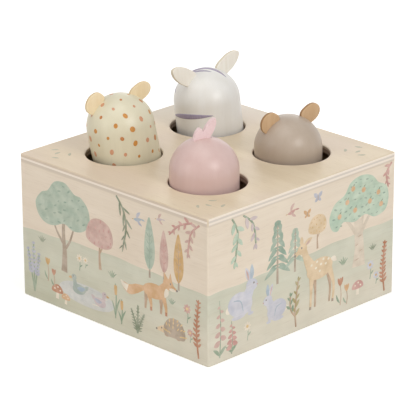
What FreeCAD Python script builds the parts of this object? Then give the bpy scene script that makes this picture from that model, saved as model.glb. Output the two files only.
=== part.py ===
import FreeCAD, Part
import math
import os

# Pop-up animal toy: a plywood box with four round holes. Under each hole a steel spring
# stands on a turned seat and carries a turned cap. A loose wooden animal head stands on
# each cap: pressed down it pops up again, and it lifts out of its hole.
# Units are millimetres. +Z is up, the box stands on Z = 0 and is centred on the Z axis.
# One corner of the box, at +X -Y, is its front corner, and the heads face that way.

# ---------------------------------------------------------------- driving dimensions
# box
box_side = 140.0
box_height = 80.0
panel_thickness = 5.0
top_thickness = 4.0
base_thickness = 4.0
corner_radius = 1.2
edge_easing = 0.5
block_side = 10.0
divider_thickness = 4.0
divider_fit = 0.2

# holes in the top board, each centre set in from the two sides next to it
hole_inset = 38.8
hole_diameter = 41.0
hole_easing = 0.5

# animal heads, all turned from one blank
peg_diameter = 36.0
peg_length = 56.0
dome_height = 17.2
peg_bore_diameter = 28.0
peg_bore_depth = 10.0
foot_easing = 1.0
ear_thickness = 2.0
crest_thickness = 2.4
ear_easing = 0.4

# spring, its seat and its cap
spring_diameter = 21.0
spring_wire = 1.4
active_turns = 8
closed_turns = 1
closed_pitch_share = 1.03
ease_turns = 0.5
ground_share = 0.3
path_steps_per_turn = 12
seat_diameter = 28.0
seat_flange = 3.0
cap_diameter = 23.9
cap_flange = 3.0
cap_easing = 0.3
cap_plug_height = 12.0
plug_fit = 0.3
plug_easing = 1.0
press_travel = 20.0
stop_clearance = 0.4
askew_clearance = 0.1

# screws
screw_diameter = 3.0
screw_head_diameter = 6.0
screw_head_height = 1.8
screw_tip = 2.0
screw_recess = 0.2
screw_fit = 0.05
screw_hole_fit = 0.2
block_screw_length = 16.0
seat_screw_length = 12.0
driver_slot_length = 3.2
driver_slot_width = 0.7
driver_slot_depth = 1.1
screw_hole_end = 1.0

# how each head stands: its rise above the top board along its own axis, its lean to the
# left as seen from the front corner, its gap to the hole's edge on the side it touches
# nearly, and how far it is turned on its axis
leopard_rise = 32.7
leopard_lean = 10.0
leopard_rim_gap = 1.1
leopard_turn = 27.0
zebra_rise = 32.2
zebra_lean = 5.7
zebra_rim_gap = 1.25
zebra_turn = 45.0
bear_rise = 20.3
bear_rim_gap = 0.76
bear_turn = 31.5
flamingo_rise = 23.6
flamingo_rim_gap = 0.76
flamingo_turn = 20.0

# ears, each an ellipse cut from thin board: half length, half width, and for each ear its
# centre outwards from the head's axis and below the dome's top, and its long axis's angle
# from upright, outwards
leopard_ear_half_length = 6.1
leopard_ear_half_width = 4.3
leopard_left_ear_out = 11.9
leopard_left_ear_down = 1.1
leopard_left_ear_angle = 133.0
leopard_right_ear_out = 14.7
leopard_right_ear_down = 2.7
leopard_right_ear_angle = 66.4
zebra_ear_half_length = 9.0
zebra_ear_half_width = 4.55
zebra_left_ear_out = 15.0
zebra_left_ear_down = -0.3
zebra_left_ear_angle = 56.5
zebra_right_ear_out = 18.0
zebra_right_ear_down = 1.8
zebra_right_ear_angle = 67.0
bear_ear_half_length = 5.9
bear_ear_half_width = 4.7
bear_left_ear_out = 11.5
bear_left_ear_down = 2.3
bear_left_ear_angle = 147.0
bear_right_ear_out = 13.6
bear_right_ear_down = 0.9
bear_right_ear_angle = 57.0

# the flamingo's felt crest: a small lobe to the left of the head's axis and a large one to
# the right, on a root let into the dome
crest_root_left = 5.8
crest_root_right = 3.6
crest_root_depth = 4.0
small_lobe_out = 3.6
small_lobe_up = 0.7
small_lobe_half_length = 5.0
small_lobe_half_width = 2.2
small_lobe_angle = 14.0
large_lobe_out = 2.35
large_lobe_up = 3.8
large_lobe_half_length = 7.0
large_lobe_half_width = 2.55
large_lobe_angle = 28.0

# ------------------------------------------------------------------- derived values
inner_side = box_side - 2.0 * panel_thickness
top_underside = box_height - top_thickness
hole_radius = hole_diameter / 2.0
peg_radius = peg_diameter / 2.0
cap_radius = cap_diameter / 2.0
seat_top = base_thickness + seat_flange
plug_radius = spring_diameter / 2.0 - spring_wire - plug_fit
block_centre = inner_side / 2.0 - block_side / 2.0
half_spacing = box_side / 2.0 - hole_inset

Z_AXIS = FreeCAD.Vector(0.0, 0.0, 1.0)
ORIGIN = FreeCAD.Vector(0.0, 0.0, 0.0)
# seen from the front corner: the way to the right, and the way towards the viewer
RIGHT = FreeCAD.Vector(1.0, 1.0, 0.0).normalize()
TOWARDS = FreeCAD.Vector(1.0, -1.0, 0.0).normalize()
RIGHT_ANGLE_FROM_X = 45.0
CORNERS = {
    "leopard": (-1, -1),
    "zebra": (-1, 1),
    "bear": (1, 1),
    "flamingo": (1, -1),
}


# -------------------------------------------------------------------------- helpers
def export(shape, node):
    """Writes one closed piece, or a group of identical ones, to its own file."""
    assert shape.isValid() and shape.Solids, node
    shape.exportStep("parts/" + node + ".step")
    print(f"{node:28s} solids {len(shape.Solids):2d}  volume {shape.Volume:10.1f} mm3")


def slab(x_size, y_size, z_low, z_high):
    """A plain board centred on the Z axis."""
    corner = FreeCAD.Vector(-x_size / 2.0, -y_size / 2.0, z_low)
    return Part.makeBox(x_size, y_size, z_high - z_low, corner)


def upright_edges(shape, half_side):
    """The four upright edges of a square board whose sides lie half_side from its axis."""
    found = []
    for edge in shape.Edges:
        box = edge.BoundBox
        upright = box.ZLength > 0.5 * shape.BoundBox.ZLength
        at_corner = abs(abs(box.Center.x) - half_side) < 0.01 and abs(abs(box.Center.y) - half_side) < 0.01
        if upright and at_corner:
            found.append(edge)
    return found


def rounded_board(side, z_low, z_high):
    """A square board with its upright corners rounded."""
    board = slab(side, side, z_low, z_high)
    return board.makeFillet(corner_radius, upright_edges(board, side / 2.0))


def revolved(points):
    """A turned piece: a closed outline of (radius, height) points spun about Z."""
    corners = [FreeCAD.Vector(r, 0.0, z) for r, z in points]
    face = Part.Face(Part.makePolygon(corners + [corners[0]]))
    return face.revolve(ORIGIN, Z_AXIS, 360.0)


def well_centre(animal):
    """The centre of an animal's hole, on the Z = 0 plane."""
    x_sign, y_sign = CORNERS[animal]
    return FreeCAD.Vector(x_sign * half_spacing, y_sign * half_spacing, 0.0)


# ------------------------------------------------------------------------------ box
def side_panels():
    """Four panels with mitred ends, cut from one rounded tube."""
    tube = rounded_board(box_side, 0.0, top_underside).cut(slab(inner_side, inner_side, 0.0, top_underside))
    outside = [edge for edge in tube.Edges if abs(edge.BoundBox.ZMin) < 0.01 and edge.BoundBox.ZMax < 0.01]
    outside = [edge for edge in outside if edge.BoundBox.Center.Length > inner_side / 2.0 + edge_easing]
    tube = tube.makeChamfer(edge_easing, outside)
    reach = box_side
    panels = {}
    for index, side in enumerate(("front", "right", "back", "left")):
        wedge_outline = [ORIGIN, FreeCAD.Vector(-reach, -reach, 0.0), FreeCAD.Vector(reach, -reach, 0.0), ORIGIN]
        wedge = Part.Face(Part.makePolygon(wedge_outline)).extrude(Z_AXIS * box_height)
        wedge.rotate(ORIGIN, Z_AXIS, 90.0 * index)
        panels[side] = tube.common(wedge)
    return panels


def top_board():
    """The board with the four holes, its outer arris and the holes' rims eased."""
    board = rounded_board(box_side, top_underside, box_height)
    rim = [edge for edge in board.Edges if edge.BoundBox.ZMin > box_height - 0.01]
    board = board.makeChamfer(edge_easing, rim)
    for animal in CORNERS:
        centre = well_centre(animal) + Z_AXIS * top_underside
        board = board.cut(Part.makeCylinder(hole_radius, top_thickness, centre))
        rim_start = well_centre(animal) + Z_AXIS * (box_height - hole_easing)
        funnel = Part.makeCone(hole_radius, hole_radius + hole_easing, hole_easing, rim_start)
        board = board.cut(funnel)
    return board


def block_centres():
    """The middles of the four corner blocks, round the box from the front corner."""
    spots = [(1, -1), (1, 1), (-1, 1), (-1, -1)]
    return [FreeCAD.Vector(x * block_centre, y * block_centre, 0.0) for x, y in spots]


def corner_block(centre):
    """A square batten glued into a corner, drilled from below for the base's screw."""
    block = slab(block_side, block_side, base_thickness, top_underside)
    hole_depth = block_screw_length + screw_hole_end - base_thickness
    start = FreeCAD.Vector(0.0, 0.0, base_thickness)
    hole = Part.makeCylinder(screw_diameter / 2.0 + screw_fit, hole_depth, start)
    block = block.cut(hole)
    block.translate(centre)
    return block


def base_board():
    """The base, let in between the panels, with a countersunk hole for every screw."""
    board = slab(inner_side, inner_side, 0.0, base_thickness)
    spots = block_centres() + [well_centre(animal) for animal in CORNERS]
    for spot in spots:
        hole = Part.makeCylinder(screw_diameter / 2.0 + screw_hole_fit, base_thickness)
        head_radius = screw_head_diameter / 2.0
        sink = Part.makeCone(
            head_radius + screw_fit,
            screw_diameter / 2.0 + screw_fit,
            screw_head_height,
            Z_AXIS * screw_recess,
        )
        mouth = Part.makeCylinder(head_radius + screw_fit, screw_recess)
        cutter = hole.fuse(sink).fuse(mouth)
        cutter.translate(spot)
        board = board.cut(cutter)
    return board


def dividers():
    """Two boards halved into each other, which part the wells and prop the top board."""
    middle = (base_thickness + top_underside) / 2.0
    along_x = slab(inner_side, divider_thickness, base_thickness, top_underside)
    along_y = slab(divider_thickness, inner_side, base_thickness, top_underside)
    slot = divider_thickness + divider_fit
    along_x = along_x.cut(slab(slot, slot, middle - divider_fit / 2.0, top_underside))
    along_y = along_y.cut(slab(slot, slot, base_thickness, middle + divider_fit / 2.0))
    return along_x, along_y


# --------------------------------------------------------------------------- screws
def countersunk_screw(length):
    """A cross-headed wood screw pointing up, its head just inside the base's underside."""
    head_radius = screw_head_diameter / 2.0
    shank_radius = screw_diameter / 2.0
    neck = screw_recess + screw_head_height
    outline = [
        (0.0, screw_recess),
        (head_radius, screw_recess),
        (shank_radius, neck),
        (shank_radius, length - screw_tip),
        (0.0, length),
    ]
    screw = revolved(outline)
    for x_size, y_size in ((driver_slot_length, driver_slot_width), (driver_slot_width, driver_slot_length)):
        screw = screw.cut(slab(x_size, y_size, 0.0, screw_recess + driver_slot_depth))
    return screw


def screw_group(spots, length):
    """One screw at each spot, as a group of separate solids."""
    screws = []
    for spot in spots:
        screw = countersunk_screw(length)
        screw.translate(spot)
        screws.append(screw)
    return Part.makeCompound(screws)


# -------------------------------------------------------------- spring, seat and cap
def spring_seat(plug_height):
    """A flange with a plug that centres the spring's lowest coil, drilled for its screw."""
    radius = seat_diameter / 2.0
    plug_top = seat_top + plug_height
    outline = [
        (0.0, base_thickness),
        (radius, base_thickness),
        (radius, seat_top - edge_easing),
        (radius - edge_easing, seat_top),
        (plug_radius, seat_top),
        (plug_radius, plug_top - plug_easing),
        (plug_radius - plug_easing, plug_top),
        (0.0, plug_top),
    ]
    seat = revolved(outline)
    hole_top = min(seat_screw_length + screw_hole_end, plug_top - screw_hole_end)
    start = FreeCAD.Vector(0.0, 0.0, base_thickness)
    hole = Part.makeCylinder(screw_diameter / 2.0 + screw_fit, hole_top - base_thickness, start)
    return seat.cut(hole)


def spring_cap(top):
    """A flanged plug that rides in the spring's highest coil."""
    under = top - cap_flange
    outline = [
        (0.0, top),
        (cap_radius - cap_easing, top),
        (cap_radius, top - cap_easing),
        (cap_radius, under + cap_easing),
        (cap_radius - cap_easing, under),
        (plug_radius, under),
        (plug_radius, under - cap_plug_height + plug_easing),
        (plug_radius - plug_easing, under - cap_plug_height),
        (0.0, under - cap_plug_height),
    ]
    return revolved(outline)


def coil_path(height):
    """The wire's centre line: closed turns at both ends, open turns in between."""
    coil_radius = (spring_diameter - spring_wire) / 2.0
    start = spring_wire * (0.5 - ground_share)
    closed_rise = spring_wire * closed_pitch_share
    turns = 2 * closed_turns + active_turns
    closed_rises = 2.0 * (closed_turns + ease_turns / 2.0) * closed_rise
    open_rise = (height - 2.0 * start - closed_rises) / (active_turns - ease_turns)
    steps = turns * path_steps_per_turn
    level = start
    points = []
    for step in range(steps + 1):
        angle = 2.0 * math.pi * step / path_steps_per_turn
        points.append(FreeCAD.Vector(coil_radius * math.cos(angle), coil_radius * math.sin(angle), level))
        middle = (step + 0.5) / path_steps_per_turn
        from_end = min(middle, turns - middle) - closed_turns
        share = min(max(from_end / ease_turns, 0.0), 1.0)
        level = level + (closed_rise + share * (open_rise - closed_rise)) / path_steps_per_turn
    path = Part.BSplineCurve()
    path.interpolate(points)
    return path


def coil_spring(low, high):
    """A compression spring between two levels, its end coils closed and ground flat."""
    path = coil_path(high - low)
    start = path.value(path.FirstParameter)
    heading = path.tangent(path.FirstParameter)[0]
    wire_section = Part.Wire(Part.makeCircle(spring_wire / 2.0, start, heading))
    coil = Part.Wire(path.toShape()).makePipeShell([wire_section], True, True)
    coil = coil.common(slab(2.0 * spring_diameter, 2.0 * spring_diameter, 0.0, high - low))
    coil.translate(Z_AXIS * low)
    return coil


# ---------------------------------------------------------------------------- heads
def head_blank(rise):
    """A round peg with a domed top and a bore in its foot. Z = 0 is the top board's face."""
    top = rise
    shoulder = top - dome_height
    foot = top - peg_length
    bore_radius = peg_bore_diameter / 2.0
    bore_top = foot + peg_bore_depth
    sides = [
        (bore_radius + foot_easing, foot),
        (peg_radius - foot_easing, foot),
        (peg_radius, foot + foot_easing),
        (peg_radius, shoulder),
    ]
    inside = [(0.0, top), (0.0, bore_top), (bore_radius, bore_top), (bore_radius, foot + foot_easing), sides[0]]
    edges = []
    for run in (sides, inside):
        for (r1, z1), (r2, z2) in zip(run, run[1:]):
            edges.append(Part.makeLine(FreeCAD.Vector(r1, 0.0, z1), FreeCAD.Vector(r2, 0.0, z2)))
    crown = Part.Ellipse(
        FreeCAD.Vector(peg_radius, 0.0, shoulder),
        FreeCAD.Vector(0.0, 0.0, top),
        FreeCAD.Vector(0.0, 0.0, shoulder),
    )
    first = crown.parameter(FreeCAD.Vector(peg_radius, 0.0, shoulder))
    last = crown.parameter(FreeCAD.Vector(0.0, 0.0, top))
    if abs(last - first) > math.pi:
        first = first - 2.0 * math.pi * (1 if first > last else -1)
    dome = Part.ArcOfEllipse(crown, min(first, last), max(first, last))
    edges.append(dome.toBSpline().toShape())
    face = Part.Face(Part.Wire(Part.__sortEdges__(edges)))
    return face.revolve(ORIGIN, Z_AXIS, 360.0)


def plate_ellipse(half_length, half_width, angle, out, up, side, thickness, easing):
    """An upright elliptical plate. side is 1 or -1, and angle leans its top that way."""
    ellipse = Part.Ellipse(ORIGIN, half_length, half_width).toShape()
    face = Part.Face(Part.Wire(ellipse))
    plate = face.extrude(Z_AXIS * thickness)
    if easing > 0.0:
        plate = plate.makeFillet(easing, [edge for edge in plate.Edges if edge.BoundBox.ZLength < 0.01])
    plate.translate(Z_AXIS * (-thickness / 2.0))
    plate.rotate(ORIGIN, FreeCAD.Vector(1.0, 0.0, 0.0), 90.0)
    plate.rotate(ORIGIN, FreeCAD.Vector(0.0, 1.0, 0.0), side * angle - 90.0)
    plate.translate(FreeCAD.Vector(side * out, 0.0, up))
    return plate


def crest_plate(rise):
    """The felt crest: two lobes fused on one root that stands in a slot in the dome."""
    root = Part.makeBox(
        crest_root_left + crest_root_right,
        crest_thickness,
        crest_root_depth + small_lobe_up,
        FreeCAD.Vector(-crest_root_left, -crest_thickness / 2.0, rise - crest_root_depth),
    )
    small = plate_ellipse(
        small_lobe_half_length,
        small_lobe_half_width,
        small_lobe_angle,
        -small_lobe_out,
        rise + small_lobe_up,
        1,
        crest_thickness,
        0.0,
    )
    large = plate_ellipse(
        large_lobe_half_length,
        large_lobe_half_width,
        large_lobe_angle,
        large_lobe_out,
        rise + large_lobe_up,
        1,
        crest_thickness,
        0.0,
    )
    outline = root.common(head_blank(rise)).fuse(small).fuse(large)
    return outline.removeSplitter()


def standing(animal, lean, shift, turn):
    """The place of a head: its axis leans left and crosses the top board at a shift."""
    turned = FreeCAD.Rotation(Z_AXIS, RIGHT_ANGLE_FROM_X + turn)
    tilted = FreeCAD.Rotation(TOWARDS, lean)
    crossing = well_centre(animal) + RIGHT * shift + Z_AXIS * box_height
    return FreeCAD.Placement(crossing, tilted.multiply(turned))


def rim_shift(lean, rim_gap):
    """How far a head's axis stands from the hole's centre, to leave a gap at the rim."""
    return hole_radius - peg_radius / math.cos(math.radians(lean)) - rim_gap


def askew_cap_top(rise, lean, shift):
    """The level of a cap that a leaning head stands on with the edge of its foot."""
    angle = math.radians(lean)
    below = peg_length - rise
    foot_level = box_height - below * math.cos(angle)
    foot_shift = shift + below * math.sin(angle)
    edge_radius = cap_radius - cap_easing
    return foot_level - (edge_radius + foot_shift) * math.tan(angle) - askew_clearance


def seated_cap_top(rise):
    """The level of a cap that fills the bore of an upright head."""
    return box_height + rise - peg_length + peg_bore_depth


def well(animal, cap_top):
    """The seat, the spring and the cap under one hole."""
    cap_under = cap_top - cap_flange
    plug_height = cap_under - cap_plug_height - press_travel - stop_clearance - seat_top
    pieces = {
        "spring_seat": spring_seat(plug_height),
        "spring": coil_spring(seat_top, cap_under),
        "spring_cap": spring_cap(cap_top),
    }
    for name, piece in pieces.items():
        piece.translate(well_centre(animal))
        export(piece, animal + "_" + name)
    print(f"{animal}: cap top {cap_top:.3f}, seat plug {plug_height:.2f}, spring {cap_under - seat_top:.2f} long")


def head(animal, rise, lean, shift, turn, trims):
    """One head with its glued trims, each trim let into a slot of its own outline."""
    blank = head_blank(rise)
    for trim in trims.values():
        blank = blank.cut(trim)
    pieces = {animal + "_head": blank}
    pieces.update(trims)
    place = standing(animal, lean, shift, turn)
    for node, piece in pieces.items():
        piece.Placement = place.multiply(piece.Placement)
        export(piece, node)
    axis = place.Rotation.multVec(Z_AXIS)
    print(f"{animal}: axis {axis.x:.5f} {axis.y:.5f} {axis.z:.5f}, shift {shift:.3f}")


def ear(half_length, half_width, angle, out, up, side):
    """One ear: side is -1 for the left one as seen from the front corner, and 1 for the right one."""
    return plate_ellipse(half_length, half_width, angle, out, up, side, ear_thickness, ear_easing)


# --------------------------------------------------------------------------- making
def make_box():
    for side, panel in side_panels().items():
        export(panel, "side_panel_" + side)
    export(top_board(), "top_board")
    export(base_board(), "base_board")
    for name, centre in zip(("front", "right", "back", "left"), block_centres()):
        export(corner_block(centre), "corner_block_" + name)
    along_x, along_y = dividers()
    export(along_x, "divider_along_x")
    export(along_y, "divider_along_y")
    export(screw_group(block_centres(), block_screw_length), "base_screws")
    export(screw_group([well_centre(animal) for animal in CORNERS], seat_screw_length), "seat_screws")


def make_leopard():
    shift = rim_shift(leopard_lean, leopard_rim_gap)
    left = ear(
        leopard_ear_half_length,
        leopard_ear_half_width,
        leopard_left_ear_angle,
        leopard_left_ear_out,
        leopard_rise - leopard_left_ear_down,
        -1,
    )
    right = ear(
        leopard_ear_half_length,
        leopard_ear_half_width,
        leopard_right_ear_angle,
        leopard_right_ear_out,
        leopard_rise - leopard_right_ear_down,
        1,
    )
    ears = {"leopard_ear_left": left, "leopard_ear_right": right}
    head("leopard", leopard_rise, leopard_lean, shift, leopard_turn, ears)
    well("leopard", askew_cap_top(leopard_rise, leopard_lean, shift))


def make_zebra():
    shift = rim_shift(zebra_lean, zebra_rim_gap)
    left = ear(
        zebra_ear_half_length,
        zebra_ear_half_width,
        zebra_left_ear_angle,
        zebra_left_ear_out,
        zebra_rise - zebra_left_ear_down,
        -1,
    )
    right = ear(
        zebra_ear_half_length,
        zebra_ear_half_width,
        zebra_right_ear_angle,
        zebra_right_ear_out,
        zebra_rise - zebra_right_ear_down,
        1,
    )
    ears = {"zebra_ear_left": left, "zebra_ear_right": right}
    head("zebra", zebra_rise, zebra_lean, shift, zebra_turn, ears)
    well("zebra", askew_cap_top(zebra_rise, zebra_lean, shift))


def make_bear():
    left = ear(
        bear_ear_half_length,
        bear_ear_half_width,
        bear_left_ear_angle,
        bear_left_ear_out,
        bear_rise - bear_left_ear_down,
        -1,
    )
    right = ear(
        bear_ear_half_length,
        bear_ear_half_width,
        bear_right_ear_angle,
        bear_right_ear_out,
        bear_rise - bear_right_ear_down,
        1,
    )
    ears = {"bear_ear_left": left, "bear_ear_right": right}
    head("bear", bear_rise, 0.0, -rim_shift(0.0, bear_rim_gap), bear_turn, ears)
    well("bear", seated_cap_top(bear_rise))


def make_flamingo():
    crest = {"flamingo_crest": crest_plate(flamingo_rise)}
    head("flamingo", flamingo_rise, 0.0, -rim_shift(0.0, flamingo_rim_gap), flamingo_turn, crest)
    well("flamingo", seated_cap_top(flamingo_rise))


os.makedirs("parts", exist_ok=True)
make_box()
make_leopard()
make_zebra()
make_bear()
make_flamingo()
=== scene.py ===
# %% [markdown]
# # A wooden pop up toy
#
# Four round wooden animal heads stand on springs in a plywood box. A child pushes one down and it pops up
# again. The CAD model already has every wooden, steel and felt part in its place, and this notebook dresses
# it: it gives each part its real finish, prints a woodland on the four sides, paints spots and stripes on
# two of the heads, winds the springs and lights it all.
#
# Everything is in metres and in the same frame as the CAD model, so nothing has to be fitted into place.

# %% Load the CAD model
import bpy
import bmesh
import math
import random
from mathutils import Matrix, Vector


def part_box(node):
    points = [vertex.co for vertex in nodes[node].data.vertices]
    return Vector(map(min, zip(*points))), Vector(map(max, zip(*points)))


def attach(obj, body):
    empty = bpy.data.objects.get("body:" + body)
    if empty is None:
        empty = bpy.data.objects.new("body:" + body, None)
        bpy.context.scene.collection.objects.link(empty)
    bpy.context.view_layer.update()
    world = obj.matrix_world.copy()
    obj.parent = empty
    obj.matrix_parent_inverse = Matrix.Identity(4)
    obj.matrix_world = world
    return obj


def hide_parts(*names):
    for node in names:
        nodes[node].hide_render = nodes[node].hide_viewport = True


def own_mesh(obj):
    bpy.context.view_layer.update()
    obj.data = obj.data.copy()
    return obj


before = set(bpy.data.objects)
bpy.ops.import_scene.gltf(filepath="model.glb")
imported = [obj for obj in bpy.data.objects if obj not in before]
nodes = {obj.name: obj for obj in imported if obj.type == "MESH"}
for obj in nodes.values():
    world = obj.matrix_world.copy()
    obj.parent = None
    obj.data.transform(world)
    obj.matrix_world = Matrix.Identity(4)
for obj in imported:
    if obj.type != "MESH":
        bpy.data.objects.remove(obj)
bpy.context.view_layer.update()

# %% [markdown]
# ## Sizes
#
# A maker thinks in millimetres and Blender in metres, so one factor turns the first into the second. The
# box is square. Its side, its height and its top board are read from the CAD parts. Half the side and the
# wells' offset are derived, and the hole spacing, the hole radius and the panel thickness are given.

# %% Sizes
MM = 0.001
box_low, box_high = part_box("top_board")
SIDE = round((box_high.x - box_low.x) / MM, 3)
TOP = round(box_high.z / MM, 3)
TOP_THICKNESS = round((box_high.z - box_low.z) / MM, 3)
HALF = SIDE / 2
HOLE_SPACING = 62.4
WELL = HOLE_SPACING / 2
HOLE_RADIUS = 20.5
PANEL_THICKNESS = 5.0
print("box", SIDE, "mm square and", TOP, "mm high")

# %% [markdown]
# ## The camera
#
# A small product is best seen from well back through a long lens, so that its upright edges stay upright.
# The camera looks at the front corner from a little above. Its three axes are worked out from two angles
# and a small roll, and become the columns of its matrix.

# %% Camera
CAMERA_LENS = 230.2
CAMERA_DISTANCE = 1.4153
AIM_ABOVE_MIDDLE = 8.1
azimuth = math.radians(45.02)
elevation = math.radians(20.67)
roll = math.radians(-0.23)
ahead = Vector((math.sin(azimuth), -math.cos(azimuth), 0))
back = Vector((ahead.x * math.cos(elevation), ahead.y * math.cos(elevation), math.sin(elevation)))
level_right = Vector((0, 0, 1)).cross(back).normalized()
level_up = back.cross(level_right)
right = level_right * math.cos(roll) + level_up * math.sin(roll)
up = level_up * math.cos(roll) - level_right * math.sin(roll)
target = Vector((0, 0, TOP / 2 * MM)) + up * AIM_ABOVE_MIDDLE * MM
camera_data = bpy.data.cameras.new("camera")
camera_data.lens = CAMERA_LENS
camera_data.clip_start = 0.05
camera_data.clip_end = 30
camera = bpy.data.objects.new("camera", camera_data)
turned = Matrix((right, up, back)).transposed().to_4x4()
camera.matrix_world = Matrix.Translation(target + back * CAMERA_DISTANCE) @ turned
bpy.context.scene.collection.objects.link(camera)
bpy.context.scene.camera = camera
bpy.context.scene.view_settings.view_transform = "Standard"
print("camera at", [round(c, 3) for c in camera.location])

# %% [markdown]
# ## A helper for nodes, and one for colours
#
# Every material and every Geometry Nodes tree below is built by one small function, which adds a node, sets
# it up and links it. Colours are written as the sRGB hex values that a paint chart gives. Shaders work in
# linear light, so one function turns them over.

# %% Helpers
def add(tree, kind, inputs=None, stops=None, **settings):
    """Adds a node to a tree. Inputs are values or other nodes' outputs, and stops are a colour ramp's."""
    node = tree.nodes.new(kind)
    for name, value in settings.items():
        setattr(node, name, value)
    for key, value in (inputs or {}).items():
        if isinstance(value, bpy.types.NodeSocket):
            tree.links.new(value, node.inputs[key])
        else:
            node.inputs[key].default_value = value
    for place, colour in stops or []:
        element = node.color_ramp.elements.new(place)
        element.color = linear(colour)
    if stops:
        node.color_ramp.elements.remove(node.color_ramp.elements[-1])
        node.color_ramp.elements.remove(node.color_ramp.elements[0])
    return node


def linear(colour):
    """An sRGB hex colour as linear red, green, blue and alpha."""
    parts = [int(colour[start:start + 2], 16) / 255 for start in (1, 3, 5)]
    return tuple(c / 12.92 if c <= 0.04045 else ((c + 0.055) / 1.055) ** 2.4 for c in parts) + (1.0,)


def new_finish(name, **sockets):
    """A material whose Principled shader has these socket values."""
    material = bpy.data.materials.new(name)
    material.use_nodes = True
    tree = material.node_tree
    shader = tree.nodes["Principled BSDF"]
    for socket, value in sockets.items():
        shader.inputs[socket.replace("_", " ")].default_value = value
    return material, tree, shader


def place_in_mm(tree):
    """Object coordinates in millimetres, so that pattern sizes are real sizes."""
    metres = add(tree, "ShaderNodeTexCoord").outputs["Object"]
    return reckon_vector(tree, "SCALE", metres, 1 / MM)


def reckon(tree, operation, *values):
    """The output of a sum of sockets and numbers, such as MULTIPLY or MAXIMUM."""
    return add(tree, "ShaderNodeMath", dict(enumerate(values)), operation=operation).outputs[0]


def reckon_vector(tree, operation, *values):
    """The same for vectors. A length and a dot product come out as a number."""
    keys = (0, "Scale") if operation == "SCALE" else range(len(values))
    node = add(tree, "ShaderNodeVectorMath", dict(zip(keys, values)), operation=operation)
    return node.outputs[1 if operation in ("LENGTH", "DOT_PRODUCT") else 0]


def spread(tree, value, low, high, first=0.0, last=1.0):
    """A value's way from low to high, kept between its two ends and laid out from first to last."""
    return add(tree, "ShaderNodeMapRange", {0: value, 1: low, 2: high, 3: first, 4: last}).outputs[0]


def blend(tree, share, first, second):
    """A number between two others."""
    return add(tree, "ShaderNodeMix", {0: share, 2: first, 3: second}).outputs[0]


def parts_of(tree, vector):
    """The three parts of a vector."""
    return add(tree, "ShaderNodeSeparateXYZ", {0: vector}).outputs


def vector_of(tree, x, y, z):
    """A vector from its three parts."""
    return add(tree, "ShaderNodeCombineXYZ", {0: x, 1: y, 2: z}).outputs[0]


def noise_at(tree, place, scale, detail, distortion=0.0):
    """A soft random pattern from 0 to 1."""
    inputs = {"Vector": place, "Scale": scale, "Detail": detail, "Distortion": distortion}
    return add(tree, "ShaderNodeTexNoise", inputs).outputs[0]


def mix(tree, share, first, second, blend_type="MIX"):
    """The output of a colour mix of two colours, each a socket or a hex value."""
    colours = [linear(c) if isinstance(c, str) else c for c in (first, second)]
    inputs = {0: share, 6: colours[0], 7: colours[1]}
    return add(tree, "ShaderNodeMix", inputs, data_type="RGBA", blend_type=blend_type).outputs[2]


# %% [markdown]
# ## The studio
#
# A product like this is lit softly: one big soft box from the right and above, so that the right side of
# the box is brighter than the left one, a weaker one from the front, one overhead and one from behind, and
# white walls all round, which the satin heads reflect along their rims. The lamps are kept at a plain
# level, at which a colour comes out about as it is written.
#
# The floor and the far background must look white without throwing more light on the toy. Both ask Light
# Path whether a ray comes from the camera or is a mirror image, and only then show white. The floor still
# takes the shadow, because its white is shaded by the lamps. Far from the toy, where the lamps hardly
# reach, it glows more, so that it runs into the background without an edge.

# %% Studio
def soft_box(name, place, width, power, colour):
    """A square area lamp that looks at the toy's middle."""
    data = bpy.data.lights.new(name, "AREA")
    data.shape = "SQUARE"
    data.size = width
    data.energy = power
    data.color = linear(colour)[:3]
    lamp = bpy.data.objects.new(name, data)
    lamp.location = place
    lamp.rotation_euler = (Vector(LAMP_AIM) - Vector(place)).to_track_quat("-Z", "Y").to_euler()
    bpy.context.scene.collection.objects.link(lamp)


NEUTRAL = "#FFFDFA"
LAMP_AIM = (0, 0, 0.06)
soft_box("key", (1.55, -0.15, 1.0), 0.7, 12.5, NEUTRAL)
soft_box("fill", (-0.35, -1.5, 0.6), 0.8, 4.9, "#FFF6EC")
soft_box("top", (0.0, -0.35, 1.6), 1.2, 7.6, NEUTRAL)
soft_box("rear", (-1.0, 1.4, 0.7), 0.9, 2.4, NEUTRAL)

WALL_LIGHT = 0.42
FLOOR_CORNERS = 64
FLOOR_RADIUS = 6.0
world = bpy.data.worlds.new("studio")
world.use_nodes = True
bpy.context.scene.world = world
walls = world.node_tree


def seen_directly(tree):
    """1 for a ray from the camera, a mirror image or a look through glass, and 0 for light on its way."""
    rays = add(tree, "ShaderNodeLightPath").outputs
    seen = rays["Is Camera Ray"]
    for kind in ("Is Glossy Ray", "Is Transmission Ray"):
        seen = reckon(tree, "MAXIMUM", seen, rays[kind])
    return seen


light_level = blend(walls, seen_directly(walls), WALL_LIGHT, 1.0)
walls.nodes["Background"].inputs[0].default_value = (1, 1, 1, 1)
walls.links.new(light_level, walls.nodes["Background"].inputs[1])

floor_mesh = bpy.data.meshes.new("floor")
turns = [math.tau * k / FLOOR_CORNERS for k in range(FLOOR_CORNERS)]
corners = [(FLOOR_RADIUS * math.cos(turn), FLOOR_RADIUS * math.sin(turn), 0) for turn in turns]
floor_mesh.from_pydata(corners, [], [tuple(range(FLOOR_CORNERS))])
floor = bpy.data.objects.new("floor", floor_mesh)
bpy.context.scene.collection.objects.link(floor)

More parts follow.
